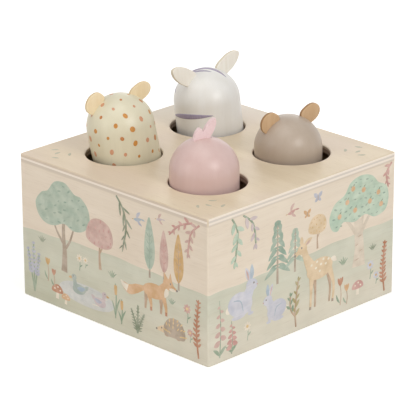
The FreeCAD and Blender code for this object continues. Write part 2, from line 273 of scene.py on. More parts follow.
paper, paper_tree, paper_shader = new_finish("white background paper", Roughness=0.9)
paper_shader.inputs["Base Color"].default_value = linear("#E4E2DE")
lit_white = add(paper_tree, "ShaderNodeBsdfDiffuse", {"Color": (1, 1, 1, 1)}).outputs[0]
from_toy = add(paper_tree, "ShaderNodeTexCoord").outputs["Object"]
from_toy = reckon_vector(paper_tree, "LENGTH", from_toy)
fading = spread(paper_tree, from_toy, 0.8, 2.4, 0.32, 1.0)
glow = add(paper_tree, "ShaderNodeEmission", {"Color": (1, 1, 1, 1), "Strength": fading}).outputs[0]
bright_paper = add(paper_tree, "ShaderNodeAddShader", {0: lit_white, 1: glow}).outputs[0]
to_eye = add(paper_tree, "ShaderNodeMixShader", {
    0: seen_directly(paper_tree),
    1: paper_shader.outputs[0],
    2: bright_paper,
})
paper_tree.links.new(to_eye.outputs[0], paper_tree.nodes["Material Output"].inputs[0])
floor_mesh.materials.append(paper)
print("studio: 4 soft boxes, white walls and a paper floor")

# %% [markdown]
# ## Birch and beech
#
# Birch plywood has a pale, quiet figure: broad bands that are hardly darker, and fine dark pores a few
# millimetres long. Both are noise, stretched along the grain and sized in millimetres. Beech is pinker and
# has shorter flecks. The same two patterns make all the woods of the toy, with other colours and another
# direction.

# %% Wood figure
def wood_figure(tree, place, along, band=9.0, fleck=0.5):
    """Two patterns of a wood from 0 to 1: its broad bands and its fine pores, along axis 0, 1 or 2."""
    patterns = []
    for width, length, detail in ((band, 14.0 * band, 4.0), (fleck, 16.0 * fleck, 2.0)):
        scale = [1.0 / width] * 3
        scale[along] = 1.0 / length
        stretched = add(tree, "ShaderNodeMapping", {"Vector": place, "Scale": scale}).outputs[0]
        patterns.append(noise_at(tree, stretched, 1.0, detail))
    bands, pores = patterns
    pores = spread(tree, pores, 0.56, 0.74)
    bands = spread(tree, bands, 0.32, 0.68)
    return bands, pores


def timber(tree, place, along, light, dark, pore, pore_share=0.5, band=9.0, fleck=0.5):
    """The colour of a wood: light and dark bands with darker pores. Also returns the pores."""
    bands, pores = wood_figure(tree, place, along, band, fleck)
    figure = mix(tree, bands, light, dark)
    share = reckon(tree, "MULTIPLY", pores, pore_share)
    return mix(tree, share, figure, pore), pores


def dent(tree, shader, height, depth_mm):
    """Presses a pattern into the surface, as far as the pores of a lacquered wood go."""
    inputs = {"Height": height, "Distance": depth_mm * MM, "Strength": 1.0}
    bump = add(tree, "ShaderNodeBump", inputs, invert=True).outputs[0]
    tree.links.new(bump, shader.inputs["Normal"])


# %% [markdown]
# ## The top board
#
# The top is 4 mm birch plywood under satin lacquer, and its cut edges show the plies, which lie crosswise:
# what is end grain and dark on one side of the box is long grain and pale round the corner. The colour of a
# cut edge depends only on its height, so a colour ramp of z gives it, one for each direction. A mask
# switches them on at the outer sides, and another in the holes, whose plies are browner and are painted
# lighter, up to a pale top, as painted light on the shaded inner wall. A thin pale ring round each hole is
# a painted highlight on its rim. All four holes are one if x and y are folded over with Absolute. The far
# corner of the board is painted paler than the rest, as painted light.

# %% Top board
EDGE_SKIN = 0.12
RIM_WIDTH = 0.5
plywood, tree, shader = new_finish("birch plywood, satin lacquer", Roughness=0.42, Specular_IOR_Level=0.4)
place = place_in_mm(tree)
face, pores = timber(tree, place, 0, "#DDCDB3", "#D6C5A9", "#B9A07E", 0.4)
cloud = noise_at(tree, place, 1 / 45.0, 1.0)
cloud = spread(tree, cloud, 0.4, 0.65)
face = mix(tree, cloud, face, mix(tree, 0.5, face, "#D6C3B4"))
# Painted light: the far corner of the board, away from the lamps, is painted paler.
far_corner_painted_light = reckon_vector(tree, "DOT_PRODUCT", place, (-1, 1, 0))
far_corner_painted_light = spread(tree, far_corner_painted_light, 0.4 * SIDE, SIDE, 0.0, 0.75)
face = mix(tree, far_corner_painted_light, face, "#E6E1DA")
axes = parts_of(tree, place)
across = [reckon(tree, "ABSOLUTE", axes[k]) for k in (0, 1)]
outermost = reckon(tree, "MAXIMUM", across[0], across[1])
at_edge = reckon(tree, "GREATER_THAN", outermost, HALF - EDGE_SKIN)
ply_height = spread(tree, axes[2], TOP - TOP_THICKNESS, TOP)
edge_x = add(tree, "ShaderNodeValToRGB", {0: ply_height}, stops=[
    (0.1, "#DDD2C6"), (0.13, "#F0E5D8"), (0.34, "#F0E5D8"), (0.38, "#D8CEC3"), (0.62, "#D8CEC3"),
    (0.66, "#F2E7DA"), (0.88, "#F2E7DA"), (0.95, "#E0D0B8")]).outputs[0]
edge_y = add(tree, "ShaderNodeValToRGB", {0: ply_height}, stops=[
    (0.27, "#D6C8B8"), (0.31, "#F2E7DB"), (0.55, "#F2E7DB"), (0.59, "#D4C3B0"), (0.94, "#D4C3B0"),
    (0.98, "#DCCDB4")]).outputs[0]
on_x_edge = reckon(tree, "GREATER_THAN", across[0], HALF - EDGE_SKIN)
edge_plies = mix(tree, on_x_edge, edge_y, edge_x)
# Painted light: the ply bands in the holes are coloured lighter than the lamps leave the shaded inner wall,
# with a pale top.
hole_plies_painted_light = add(tree, "ShaderNodeValToRGB", {0: ply_height}, stops=[
    (0.28, "#BBA795"), (0.33, "#A08B79"), (0.55, "#A08B79"), (0.6, "#CBB8A6"), (0.9, "#D3C1AF"),
    (0.96, "#EADCC8")]).outputs[0]
folded = [reckon(tree, "SUBTRACT", a, WELL) for a in across]
from_hole = vector_of(tree, folded[0], folded[1], 0.0)
from_hole = reckon_vector(tree, "LENGTH", from_hole)
in_hole = reckon(tree, "LESS_THAN", from_hole, HOLE_RADIUS + 0.1)
# Painted highlight: a thin pale ring round the rim of each hole.
rim_painted_highlight = spread(tree, from_hole, HOLE_RADIUS + RIM_WIDTH + 0.2, HOLE_RADIUS + RIM_WIDTH, 0.0, 0.6)
colour = mix(tree, rim_painted_highlight, face, "#F3E6D2")
colour = mix(tree, at_edge, colour, edge_plies)
colour = mix(tree, in_hole, colour, hole_plies_painted_light)
tree.links.new(colour, shader.inputs["Base Color"])
dent(tree, shader, pores, 0.02)
nodes["top_board"].material_slots[0].material = plywood
print("top board finished:", plywood.name)

# %% [markdown]
# ## The printed sides
#
# The four sides are printed with one landscape that runs round the box: a pale warm sky over soft green
# ground. The ink is thin, so the wood's grain still shows through, and it is not even: like watercolour it
# has paler and darker clouds. Sky and ground are part of the panel's own finish. The horizon is a height
# that waves a little with x and y, and because both sides of a corner have the same x and y there, it meets
# itself at every corner. The plants and animals come later, as a thin layer of ink of their own.
#
# Behind the print the panel is raw wood, which a mask of x and y finds.

# %% Printed panels
def wash(tree, place, colour, size=16.0, depth=0.14, seed=0.0):
    """A thin coat of ink: its own colour with paler and stronger clouds, and the grain showing through."""
    moved = reckon_vector(tree, "ADD", place, (seed, seed, seed))
    clouds = noise_at(tree, moved, 1 / size, 3.0)
    clouds = spread(tree, clouds, 0.34, 0.66)
    paler = mix(tree, depth * 1.6, colour, "#F3EADC")
    stronger = mix(tree, depth, colour, "#8D8672")
    return mix(tree, clouds, paler, stronger)


def printed_on_wood(tree, shader, place, inked):
    """Lets the panel's grain show through an inked colour and into the lacquer."""
    bands, pores = wood_figure(tree, place, 0, 5.0, 0.55)
    bands_y, pores_y = wood_figure(tree, place, 1, 5.0, 0.55)
    axes = parts_of(tree, place)
    far_x = reckon(tree, "ABSOLUTE", axes[0])
    on_x_side = reckon(tree, "GREATER_THAN", far_x, HALF - 1.0)
    pores = blend(tree, on_x_side, pores, pores_y)
    bands = blend(tree, on_x_side, bands, bands_y)
    share = reckon(tree, "MULTIPLY", pores, 0.12)
    shaded = mix(tree, share, inked, mix(tree, 1.0, inked, "#B5A48E", "MULTIPLY"))
    share = reckon(tree, "MULTIPLY", bands, 0.13)
    shaded = mix(tree, share, shaded, mix(tree, 1.0, shaded, "#C9B595", "MULTIPLY"))
    tree.links.new(shaded, shader.inputs["Base Color"])
    dent(tree, shader, pores, 0.012)


panel, tree, shader = new_finish("birch plywood, printed and lacquered", Roughness=0.5,
                                 Specular_IOR_Level=0.35)
place = place_in_mm(tree)
axes = parts_of(tree, place)
horizon = 41.8
for axis, length, height, phase in ((0, 170.0, 1.4, 1.6), (1, 260.0, 1.7, 0.0), (0, 31.0, 0.3, 1.0),
                                    (1, 27.0, 0.3, 3.0)):
    turns = reckon(tree, "MULTIPLY_ADD", axes[axis], math.tau / length, phase)
    wave = reckon(tree, "SINE", turns)
    horizon = reckon(tree, "MULTIPLY_ADD", wave, height, horizon)
on_ground = reckon(tree, "LESS_THAN", axes[2], horizon)
sky = wash(tree, place, "#EADDCC", 30.0, 0.05)
ground_high = wash(tree, place, "#D2D3C2", 18.0, 0.08, 31.0)
# Partly print tone and partly painted light: the low ground is darker and greener on the left side of the
# box and paler on the right, the side that faces the key lamp.
rightward_tone_and_light = spread(tree, axes[0], -HALF, HALF)
ground_low = wash(tree, place, mix(tree, rightward_tone_and_light, "#C6C9B5", "#DFDACA"), 18.0, 0.08, 57.0)
downhill = spread(tree, axes[2], 30.0, 12.0)
ground = mix(tree, downhill, ground_high, ground_low)
inked = mix(tree, on_ground, sky, ground)
# Painted shade, partly a dark glue joint: a darker band at the top of each panel, under the top board's
# edge.
joint_and_painted_shade = spread(tree, axes[2], TOP - TOP_THICKNESS - 0.9, TOP - TOP_THICKNESS, 0.0, 0.4)
inked = mix(tree, joint_and_painted_shade, inked, "#B9AA98")
far = [reckon(tree, "ABSOLUTE", axes[k]) for k in (0, 1)]
outermost = reckon(tree, "MAXIMUM", far[0], far[1])
inside = reckon(tree, "LESS_THAN", outermost, HALF - PANEL_THICKNESS / 2)
raw = timber(tree, place, 2, "#DCC7A4", "#CDB48C", "#A98B62")[0]
printed_on_wood(tree, shader, place, mix(tree, inside, inked, raw))
for side in ("front", "right", "back", "left"):
    nodes["side_panel_" + side].material_slots[0].material = panel
print("four printed panels:", panel.name)

# %% [markdown]
# ## The hidden woods and the steel
#
# Inside the box nothing is painted: the base and the dividers are raw plywood, the corner blocks sawn
# beech, the spring seats and caps turned beech. Springs are bright drawn wire, and the screws are zinc
# plated. They are seen only through the holes and from below, and still get the same care, because a head
# can be lifted out.

# %% Inner finishes
def wooden(name, along, light, dark, pore, roughness, **sizes):
    """A wood finish on its own."""
    material, tree, shader = new_finish(name, Roughness=roughness, Specular_IOR_Level=0.3)
    colour, pores = timber(tree, place_in_mm(tree), along, light, dark, pore, **sizes)
    tree.links.new(colour, shader.inputs["Base Color"])
    dent(tree, shader, pores, 0.04)
    return material


raw_plywood = wooden("raw birch plywood", 0, "#DCC8A6", "#CCB48C", "#A88C66", 0.75)
raw_plywood_y = wooden("raw birch plywood, turned", 1, "#DCC8A6", "#CCB48C", "#A88C66", 0.75)
sawn_beech = wooden("sawn beech", 2, "#D8B48C", "#C79C72", "#A0724C", 0.8, band=5.0, fleck=0.4)
turned_beech = wooden("turned beech", 2, "#DDBB90", "#CFA578", "#A67B52", 0.6, band=5.0, fleck=0.4)


def steel(name, colour, roughness, band_mm):
    """Bare metal: fine marks of drawing or plating change its gloss a little."""
    material, tree, shader = new_finish(name, Metallic=1.0)
    place = place_in_mm(tree)
    marks = noise_at(tree, place, 1 / band_mm, 2.0)
    tree.links.new(mix(tree, marks, colour, mix(tree, 0.35, colour, "#5A5650")),
                   shader.inputs["Base Color"])
    gloss = spread(tree, marks, 0.0, 1.0, roughness - 0.08, roughness + 0.1)
    tree.links.new(gloss, shader.inputs["Roughness"])
    return material


spring_wire = steel("drawn spring wire", "#B4B5B8", 0.32, 1.4)
zinc = steel("zinc plated steel", "#C9C7BA", 0.4, 2.5)
FINISH_OF = {
    "base_board": raw_plywood,
    "divider_along_x": raw_plywood,
    "divider_along_y": raw_plywood_y,
    "base_screws": zinc,
    "seat_screws": zinc,
}
for name in nodes:
    if name.startswith("corner_block"):
        FINISH_OF[name] = sawn_beech
    if name.endswith("_spring_seat") or name.endswith("_spring_cap"):
        FINISH_OF[name] = turned_beech
for name, material in FINISH_OF.items():
    nodes[name].material_slots[0].material = material
print(len(FINISH_OF), "inner parts finished")

# %% [markdown]
# ## The animals' places
#
# Each head was turned on a lathe, so it is easiest to think of it upright, with its axis on z and the top
# board's face at z = 0, and then to stand it in its hole. A matrix does that: first it turns the head so
# that it looks at the front corner, then it leans it, then it moves it to its hole. Two heads sit askew on
# their springs and lean.

# %% Places
RIGHT = Vector((1, 1, 0)).normalized()
TOWARDS = Vector((1, -1, 0)).normalized()
PEG_RADIUS = 18.0
DOME = 17.2
ANIMALS = {
    "leopard": dict(corner=(-1, -1), rise=32.7, lean=10.0, gap=1.1, turn=27.0),
    "zebra": dict(corner=(-1, 1), rise=32.2, lean=5.7, gap=1.25, turn=45.0),
    "bear": dict(corner=(1, 1), rise=20.3, lean=0.0, gap=0.76, turn=31.5),
    "flamingo": dict(corner=(1, -1), rise=23.6, lean=0.0, gap=0.76, turn=20.0),
}


def standing(animal):
    """From a head's own upright millimetres to its place in the toy, in metres."""
    lean = math.radians(animal["lean"])
    shift = HOLE_RADIUS - PEG_RADIUS / math.cos(lean) - animal["gap"]
    if not lean:
        shift = -shift
    well = Vector(animal["corner"]).to_3d() * WELL + RIGHT * shift + Vector((0, 0, TOP))
    turned = Matrix.Rotation(math.radians(45.0 + animal["turn"]), 4, "Z")
    return Matrix.Scale(MM, 4) @ Matrix.Translation(well) @ Matrix.Rotation(lean, 4, TOWARDS) @ turned


for name, animal in ANIMALS.items():
    animal["matrix"] = standing(animal)
    tip = animal["matrix"] @ Vector((0, 0, animal["rise"]))
    print(name, "tip at", [round(c, 4) for c in tip])

# %% [markdown]
# ## Stained and lacquered heads
#
# The heads are turned beech under a thin coat of coloured stain and a satin lacquer. What the eye gets is
# an even, milky colour, a soft highlight from each soft box, and a pale sheen along the rim. A trace of
# grain and of the lathe's rings is left in the coat, a few hundredths of a millimetre deep.

# %% Head finishes
def stained(name, colour, shade):
    """Stained turned beech under satin lacquer."""
    material, tree, shader = new_finish(name, Roughness=0.36, Specular_IOR_Level=0.5)
    place = place_in_mm(tree)
    bands, pores = wood_figure(tree, place, 2, 7.0, 0.6)
    coat = mix(tree, bands, colour, shade)
    share = reckon(tree, "MULTIPLY", pores, 0.05)
    tree.links.new(mix(tree, share, coat, mix(tree, 1.0, coat, "#B8A998", "MULTIPLY")),
                   shader.inputs["Base Color"])
    dent(tree, shader, pores, 0.004)
    return material


HEAD_FINISH = {
    "leopard": stained("cream stained beech", "#DAD4BC", "#D5CEB4"),
    "zebra": stained("off-white stained beech", "#E4E3E0", "#DFDDD8"),
    "bear": stained("grey-brown stained beech", "#B5A697", "#AF9F8F"),
    "flamingo": stained("dusty pink stained beech", "#D2B8B3", "#CDB0AB"),
}
for name, material in HEAD_FINISH.items():
    nodes[name + "_head"].material_slots[0].material = material
print("heads stained:", ", ".join(HEAD_FINISH))

# %% [markdown]
# ## Ears of plywood
#
# An ear is a small plate of 2 mm plywood, stained lighter than the head. Its sawn edge is scorched a little
# by the laser and stays darker than its face. In the plate's own thickness the edge is everything that
# isn't close to one of its two faces, so one distance along the plate's normal tells them apart.

# %% Ear finishes
EAR_THICKNESS = 2.0


def ear_finish(name, animal, face, grain_colour, edge):
    """Plywood that is pale on its two faces and darker along its sawn edge."""
    material, tree, shader = new_finish(name, Roughness=0.5, Specular_IOR_Level=0.35)
    place = place_in_mm(tree)
    matrix = animal["matrix"]
    normal = (matrix.to_3x3() @ Vector((0, 1, 0))).normalized()
    middle = (matrix @ Vector((0, 0, 0))) / MM
    along = reckon_vector(tree, "DOT_PRODUCT", place, normal)
    depth = reckon(tree, "SUBTRACT", along, middle.dot(normal))
    depth = reckon(tree, "ABSOLUTE", depth)
    sawn = spread(tree, depth, EAR_THICKNESS / 2 - 0.12, EAR_THICKNESS / 2 - 0.3)
    flat, pores = timber(tree, place, 2, face, grain_colour, edge, 0.2, 2.5, 0.35)
    tree.links.new(mix(tree, sawn, flat, edge), shader.inputs["Base Color"])
    dent(tree, shader, pores, 0.02)
    return material


EAR_FINISH = {
    "leopard": ear_finish("cream plywood ear", ANIMALS["leopard"], "#EDDBB8", "#E8D3AC", "#D6BE94"),
    "zebra": ear_finish("off-white plywood ear", ANIMALS["zebra"], "#F2EEE5", "#ECE6DA", "#D8CEBB"),
    "bear": ear_finish("light brown plywood ear", ANIMALS["bear"], "#CDAE8A", "#C6A47E", "#9C7850"),
}
print("ears stained:", ", ".join(EAR_FINISH))

# %% [markdown]
# ## Geometry Nodes: a tree with named inputs
#
# What repeats or follows a path is made by Geometry Nodes: the wound springs, the painted spots and
# stripes, and every leafy stem of the print. A tree is a small recipe with named inputs. To use it, it is
# put on an object as a modifier, its inputs are set, and the result is kept as a plain mesh, so that
# nothing is left to recompute.

# %% Tree helpers
def new_recipe(name, inputs):
    """An empty tree with these named inputs. Returns it, its inputs and its output node."""
    tree = bpy.data.node_groups.new(name, "GeometryNodeTree")
    tree.interface.new_socket("Geometry", in_out="OUTPUT", socket_type="NodeSocketGeometry")
    tree.interface.new_socket("Geometry", in_out="INPUT", socket_type="NodeSocketGeometry")
    for label, kind in inputs.items():
        tree.interface.new_socket(label, in_out="INPUT", socket_type="NodeSocket" + kind)
    return tree, tree.nodes.new("NodeGroupInput").outputs, tree.nodes.new("NodeGroupOutput")


def made_by(tree, kind, inputs=None, **settings):
    """The first output of a Geometry Nodes node, whose kind is given without its prefix."""
    return add(tree, "GeometryNode" + kind, inputs, **settings).outputs[0]


def random_number(tree, low, high, seed):
    """A random number for each point or instance."""
    inputs = {2: low, 3: high, "Seed": seed}
    return add(tree, "FunctionNodeRandomValue", inputs, data_type="FLOAT").outputs[1]


def scattered(tree, given, most):
    """Random places on the given faces, with a least distance between them (Poisson's way)."""
    return add(tree, "GeometryNodeDistributePointsOnFaces", {
        "Mesh": given["Geometry"], "Distance Min": given["Spacing"], "Density Max": most,
        "Seed": given["Seed"]}, distribute_method="POISSON").outputs


def attribute(tree, name, kind):
    """What an earlier node has stored under this name."""
    return made_by(tree, "InputNamedAttribute", {"Name": name}, data_type=kind)


def mesh_object(name, vertices, edges=(), faces=()):
    """A new object with this mesh, at the origin."""
    mesh = bpy.data.meshes.new(name)
    mesh.from_pydata(vertices, edges, faces)
    made = bpy.data.objects.new(name, mesh)
    bpy.context.scene.collection.objects.link(made)
    return made


def grow(tree, source, **values):
    """Runs a tree on an object and returns the mesh that comes out. The source object is used up."""
    modifier = source.modifiers.new(tree.name, "NODES")
    modifier.node_group = tree
    for socket in tree.interface.items_tree:
        label = socket.name.replace(" ", "_").lower()
        if socket.in_out == "INPUT" and label in values:
            modifier[socket.identifier] = values[label]
    bpy.context.view_layer.update()
    evaluated = source.evaluated_get(bpy.context.evaluated_depsgraph_get())
    mesh = bpy.data.meshes.new_from_object(evaluated)
    source.modifiers.remove(modifier)
    bpy.data.objects.remove(source)
    return mesh


def piece(name, mesh, body, slot, *replaced):
    """A finished mesh as a piece of the toy that rides on a body."""
    mesh.name = name
    made = bpy.data.objects.new(name, mesh)
    bpy.context.scene.collection.objects.link(made)
    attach(made, body)
    if replaced:
        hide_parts(*replaced)
    return made


def along_path(points, steps=6, closed=False):
    """More points on a smooth line through the given ones (Catmull and Rom's rule)."""
    count = len(points)
    spans = count if closed else count - 1
    line = []
    for k in range(spans):
        near = [k + shift for shift in (-1, 0, 1, 2)]
        near = [place % count if closed else min(max(place, 0), count - 1) for place in near]
        a, b, c, d = (Vector(points[place]) for place in near)
        for step in range(steps):
            t = step / steps
            line.append(0.5 * (2 * b + (c - a) * t + (2 * a - 5 * b + 4 * c - d) * t ** 2
                               + (3 * b - a - 3 * c + d) * t ** 3))
    return line if closed else line + [Vector(points[-1])]


print("tree helpers ready")

# %% [markdown]
# ## Ink for the woodland
#
# The plants and animals are printed in soft watercolour inks. Each ink is a material of its own: a colour
# that pools and thins every few millimetres, with the plywood's grain showing through and the same satin
# lacquer on top. The palette is kept small and dusty, with a few stronger rusts and ochres for the small
# things.

# %% Inks
INKS = {}


def mix_ink(name, colour, depth=0.16):
    """One more watercolour ink on plywood."""
    material, tree, shader = new_finish(name + " ink on birch plywood", Roughness=0.5,
                                        Specular_IOR_Level=0.35)
    place = place_in_mm(tree)
    printed_on_wood(tree, shader, place, wash(tree, place, colour, 5.0, depth, 9.0 * len(INKS)))
    INKS[name] = material


for name, colour in {
    "teal": "#AFC3B4", "deep teal": "#93AE9F", "mint": "#BBD3C0", "moss": "#8DA58D",
    "sprig green": "#7F8E77", "pink": "#D2AEA7", "rose": "#CF9A95", "rust": "#BB7752",
    "apricot": "#DDB184", "peach": "#E4CAA5", "ochre": "#D2A764", "yellow": "#E6C584",
    "olive": "#A99C66", "bark": "#AE9B8A", "pale bark": "#DFD2C1", "twig": "#BF9F85",
    "sea blue": "#A9B9B5", "periwinkle": "#B5B9CD", "lilac": "#CFD2E2", "dusk blue": "#A9BCCF",
    "pond": "#D5D8D8", "mauve": "#CFC0C6", "cream": "#F3EADB", "charcoal": "#77706F",
    "faint green": "#B4B29C",
}.items():
    mix_ink(name, colour)
print(len(INKS), "inks mixed")

# %% [markdown]
# ## Sheets of ink
#
# A picture on a side could be painted as an image, but here every shape is cut out: a very thin closed
# plate whose foot is sunk into the panel. It stays sharp from close by, and it can be drawn with a few
# points. A sheet collects the shapes of one side in millimetres, u across from the left and v up. Each new
# shape is printed two thousandths of a millimetre over the last, like coats of ink, so that an eye lies on
# a face and a face on a body.
#
# Four outlines are enough to draw with: an oval, a smooth blob through a few points, a brush stroke with
# changing width, and a leaf.

# %% Sheets
INK_FOOT = -0.1
INK_COAT = 0.002
FIRST_COAT = 0.02
MOTIF_STEP = 0.05
UP = Vector((0, 0, 1))
SIDES = {
    "front": (Vector((1, 0, 0)), UP, (-HALF, -HALF, 0)),
    "right": (Vector((0, 1, 0)), UP, (HALF, -HALF, 0)),
    "back": (Vector((-1, 0, 0)), UP, (HALF, HALF, 0)),
    "left": (Vector((0, -1, 0)), UP, (-HALF, HALF, 0)),
    "top": (Vector((1, 0, 0)), Vector((0, 1, 0)), (-HALF, -HALF, TOP)),
}


class Sheet:
    """The printed shapes of one side."""

    def __init__(self, side):
        self.side = side
        self.skin = bmesh.new()
        self.inks = []
        self.put((0, 0))

    def put(self, foot, size=1.0, flip=False, over=0):
        """Says where the next motif stands, how large, looking which way, and over how many others."""
        self.size = size
        self.place = Matrix.Translation((*foot, 0)) @ Matrix.Diagonal((-size if flip else size, size, 1, 1))
        self.height = FIRST_COAT + MOTIF_STEP * over

    def draw(self, u, v, motif, *inks, size=1.0, flip=False, over=0, **more):
        """Prints one motif with its foot at u, v."""
        self.put((u, v), size, flip, over)
        motif(self, *inks, **more)
        self.put((0, 0), over=3)

    def number(self, material):
        """The place of a material in the sheet's list."""
        if material not in self.inks:
            self.inks.append(material)
        return self.inks.index(material)

    def stamp(self, outline, ink):
        """Prints one closed outline in one ink."""
        line = [self.place @ Vector((spot[0], spot[1], 0)) for spot in outline]
        if sum(a.x * b.y - b.x * a.y for a, b in zip(line, line[1:] + line[:1])) < 0:
            line.reverse()
        low = [self.skin.verts.new((spot.x, spot.y, INK_FOOT)) for spot in line]
        high = [self.skin.verts.new((spot.x, spot.y, self.height)) for spot in line]
        faces = [self.skin.faces.new(high), self.skin.faces.new(low[::-1])]
        for k in range(len(line)):
            faces.append(self.skin.faces.new((low[k - 1], low[k], high[k], high[k - 1])))
        for face in faces:
            face.material_index = self.number(INKS[ink])
        self.height += INK_COAT

    def adopt(self, mesh):
        """Takes over what a tree has grown in the sheet's own millimetres."""
        numbers = [self.number(material) for material in mesh.materials]
        for vertex in mesh.vertices:
            if vertex.co.z > 0:
                vertex.co.z += self.height
        count = len(self.skin.faces)
        self.skin.from_mesh(mesh)
        self.skin.faces.ensure_lookup_table()
        for face in self.skin.faces[count:]:
            face.material_index = numbers[face.material_index]
        self.height += 5 * INK_COAT

    def finish(self):
        """Puts the sheet on its side of the box."""
        self.skin.normal_update()
        large = [face for face in self.skin.faces if len(face.verts) > 4]
        bmesh.ops.triangulate(self.skin, faces=large, ngon_method="EAR_CLIP")
        mesh = bpy.data.meshes.new("print")
        self.skin.to_mesh(mesh)
        self.skin.free()
        for material in self.inks:
            mesh.materials.append(material)
        across, upward, corner = SIDES[self.side]
        turned = Matrix((across, upward, across.cross(upward))).transposed().to_4x4()
        mesh.transform(Matrix.Scale(MM, 4) @ Matrix.Translation(corner) @ turned)
        return piece("print_" + self.side, mesh, "box",
                     "top_plywood" if self.side == "top" else "printed_panel")


def oval(middle, long, short, tilt=0.0):
    """An oval by its half axes, the first one tilted up from level."""
    turn = Matrix.Rotation(math.radians(tilt), 2)
    return [Vector(middle) + turn @ Vector((long * math.cos(t), short * math.sin(t)))
            for t in (math.tau * k / 18 for k in range(18))]


def blob(*points):
    """A smooth closed outline through a few points."""
    return along_path(points, 5, closed=True)


def brush(widths, *points):
    """A brush stroke through points, whose width changes evenly through the given ones."""
    line = along_path(points, 5)
    last = len(line) - 1
    left, right = [], []
    for k, spot in enumerate(line):
        ahead = line[min(k + 1, last)] - line[max(k - 1, 0)]
        side = Vector((-ahead.y, ahead.x)).normalized() / 2
        share = k / last * (len(widths) - 1)
        step = min(int(share), len(widths) - 2)
        width = widths[step] + (widths[step + 1] - widths[step]) * (share - step)
        left.append(spot + side * width)
        right.append(spot - side * width)
    return right + left[::-1]


def leaf(root, tip, width, bend=0.0):
    """A leaf, a petal or a short stroke: a lens from its root to its tip, bent to one side."""
    root, tip = Vector(root), Vector(tip)
    side = Vector((root.y - tip.y, tip.x - root.x)).normalized()
    shares = [math.sin(math.pi * k / 8) for k in range(1, 8)]
    middle = [root.lerp(tip, k / 8) + side * bend * share for k, share in zip(range(1, 8), shares)]
    lower = [spot - side * width / 2 * share ** 0.8 for spot, share in zip(middle, shares)]
    upper = [spot + side * width / 2 * share ** 0.8 for spot, share in zip(middle, shares)]
    return [root] + lower + [tip] + upper[::-1]


print("sheets for", ", ".join(SIDES))

# %% [markdown]
# ## Leafy stems
#
# Sprigs, ferns, lavender and hanging branches are all the same thing: a stem that follows a line, with
# leaves on alternate sides or in pairs. One tree makes them all. It sweeps a flat strip along the line,
# places points on it, and gives each point a leaf that is turned away from the stem's own direction. A leaf
# starts as a round plate and is pinched towards a lens by the input Pointed, so the same tree also gives
# round berries and buds.

# %% Leafy stem tree
def flat_ink(tree, geometry, top):
    """Gives flat shapes their ink's thickness: points above the middle go to the top, the others down."""
    parts = parts_of(tree, made_by(tree, "InputPosition"))
    above = reckon(tree, "GREATER_THAN", parts[2], 0.0)
    height = blend(tree, above, INK_FOOT, top)
    place = vector_of(tree, parts[0], parts[1], height)
    return made_by(tree, "SetPosition", {"Geometry": geometry, "Position": place})


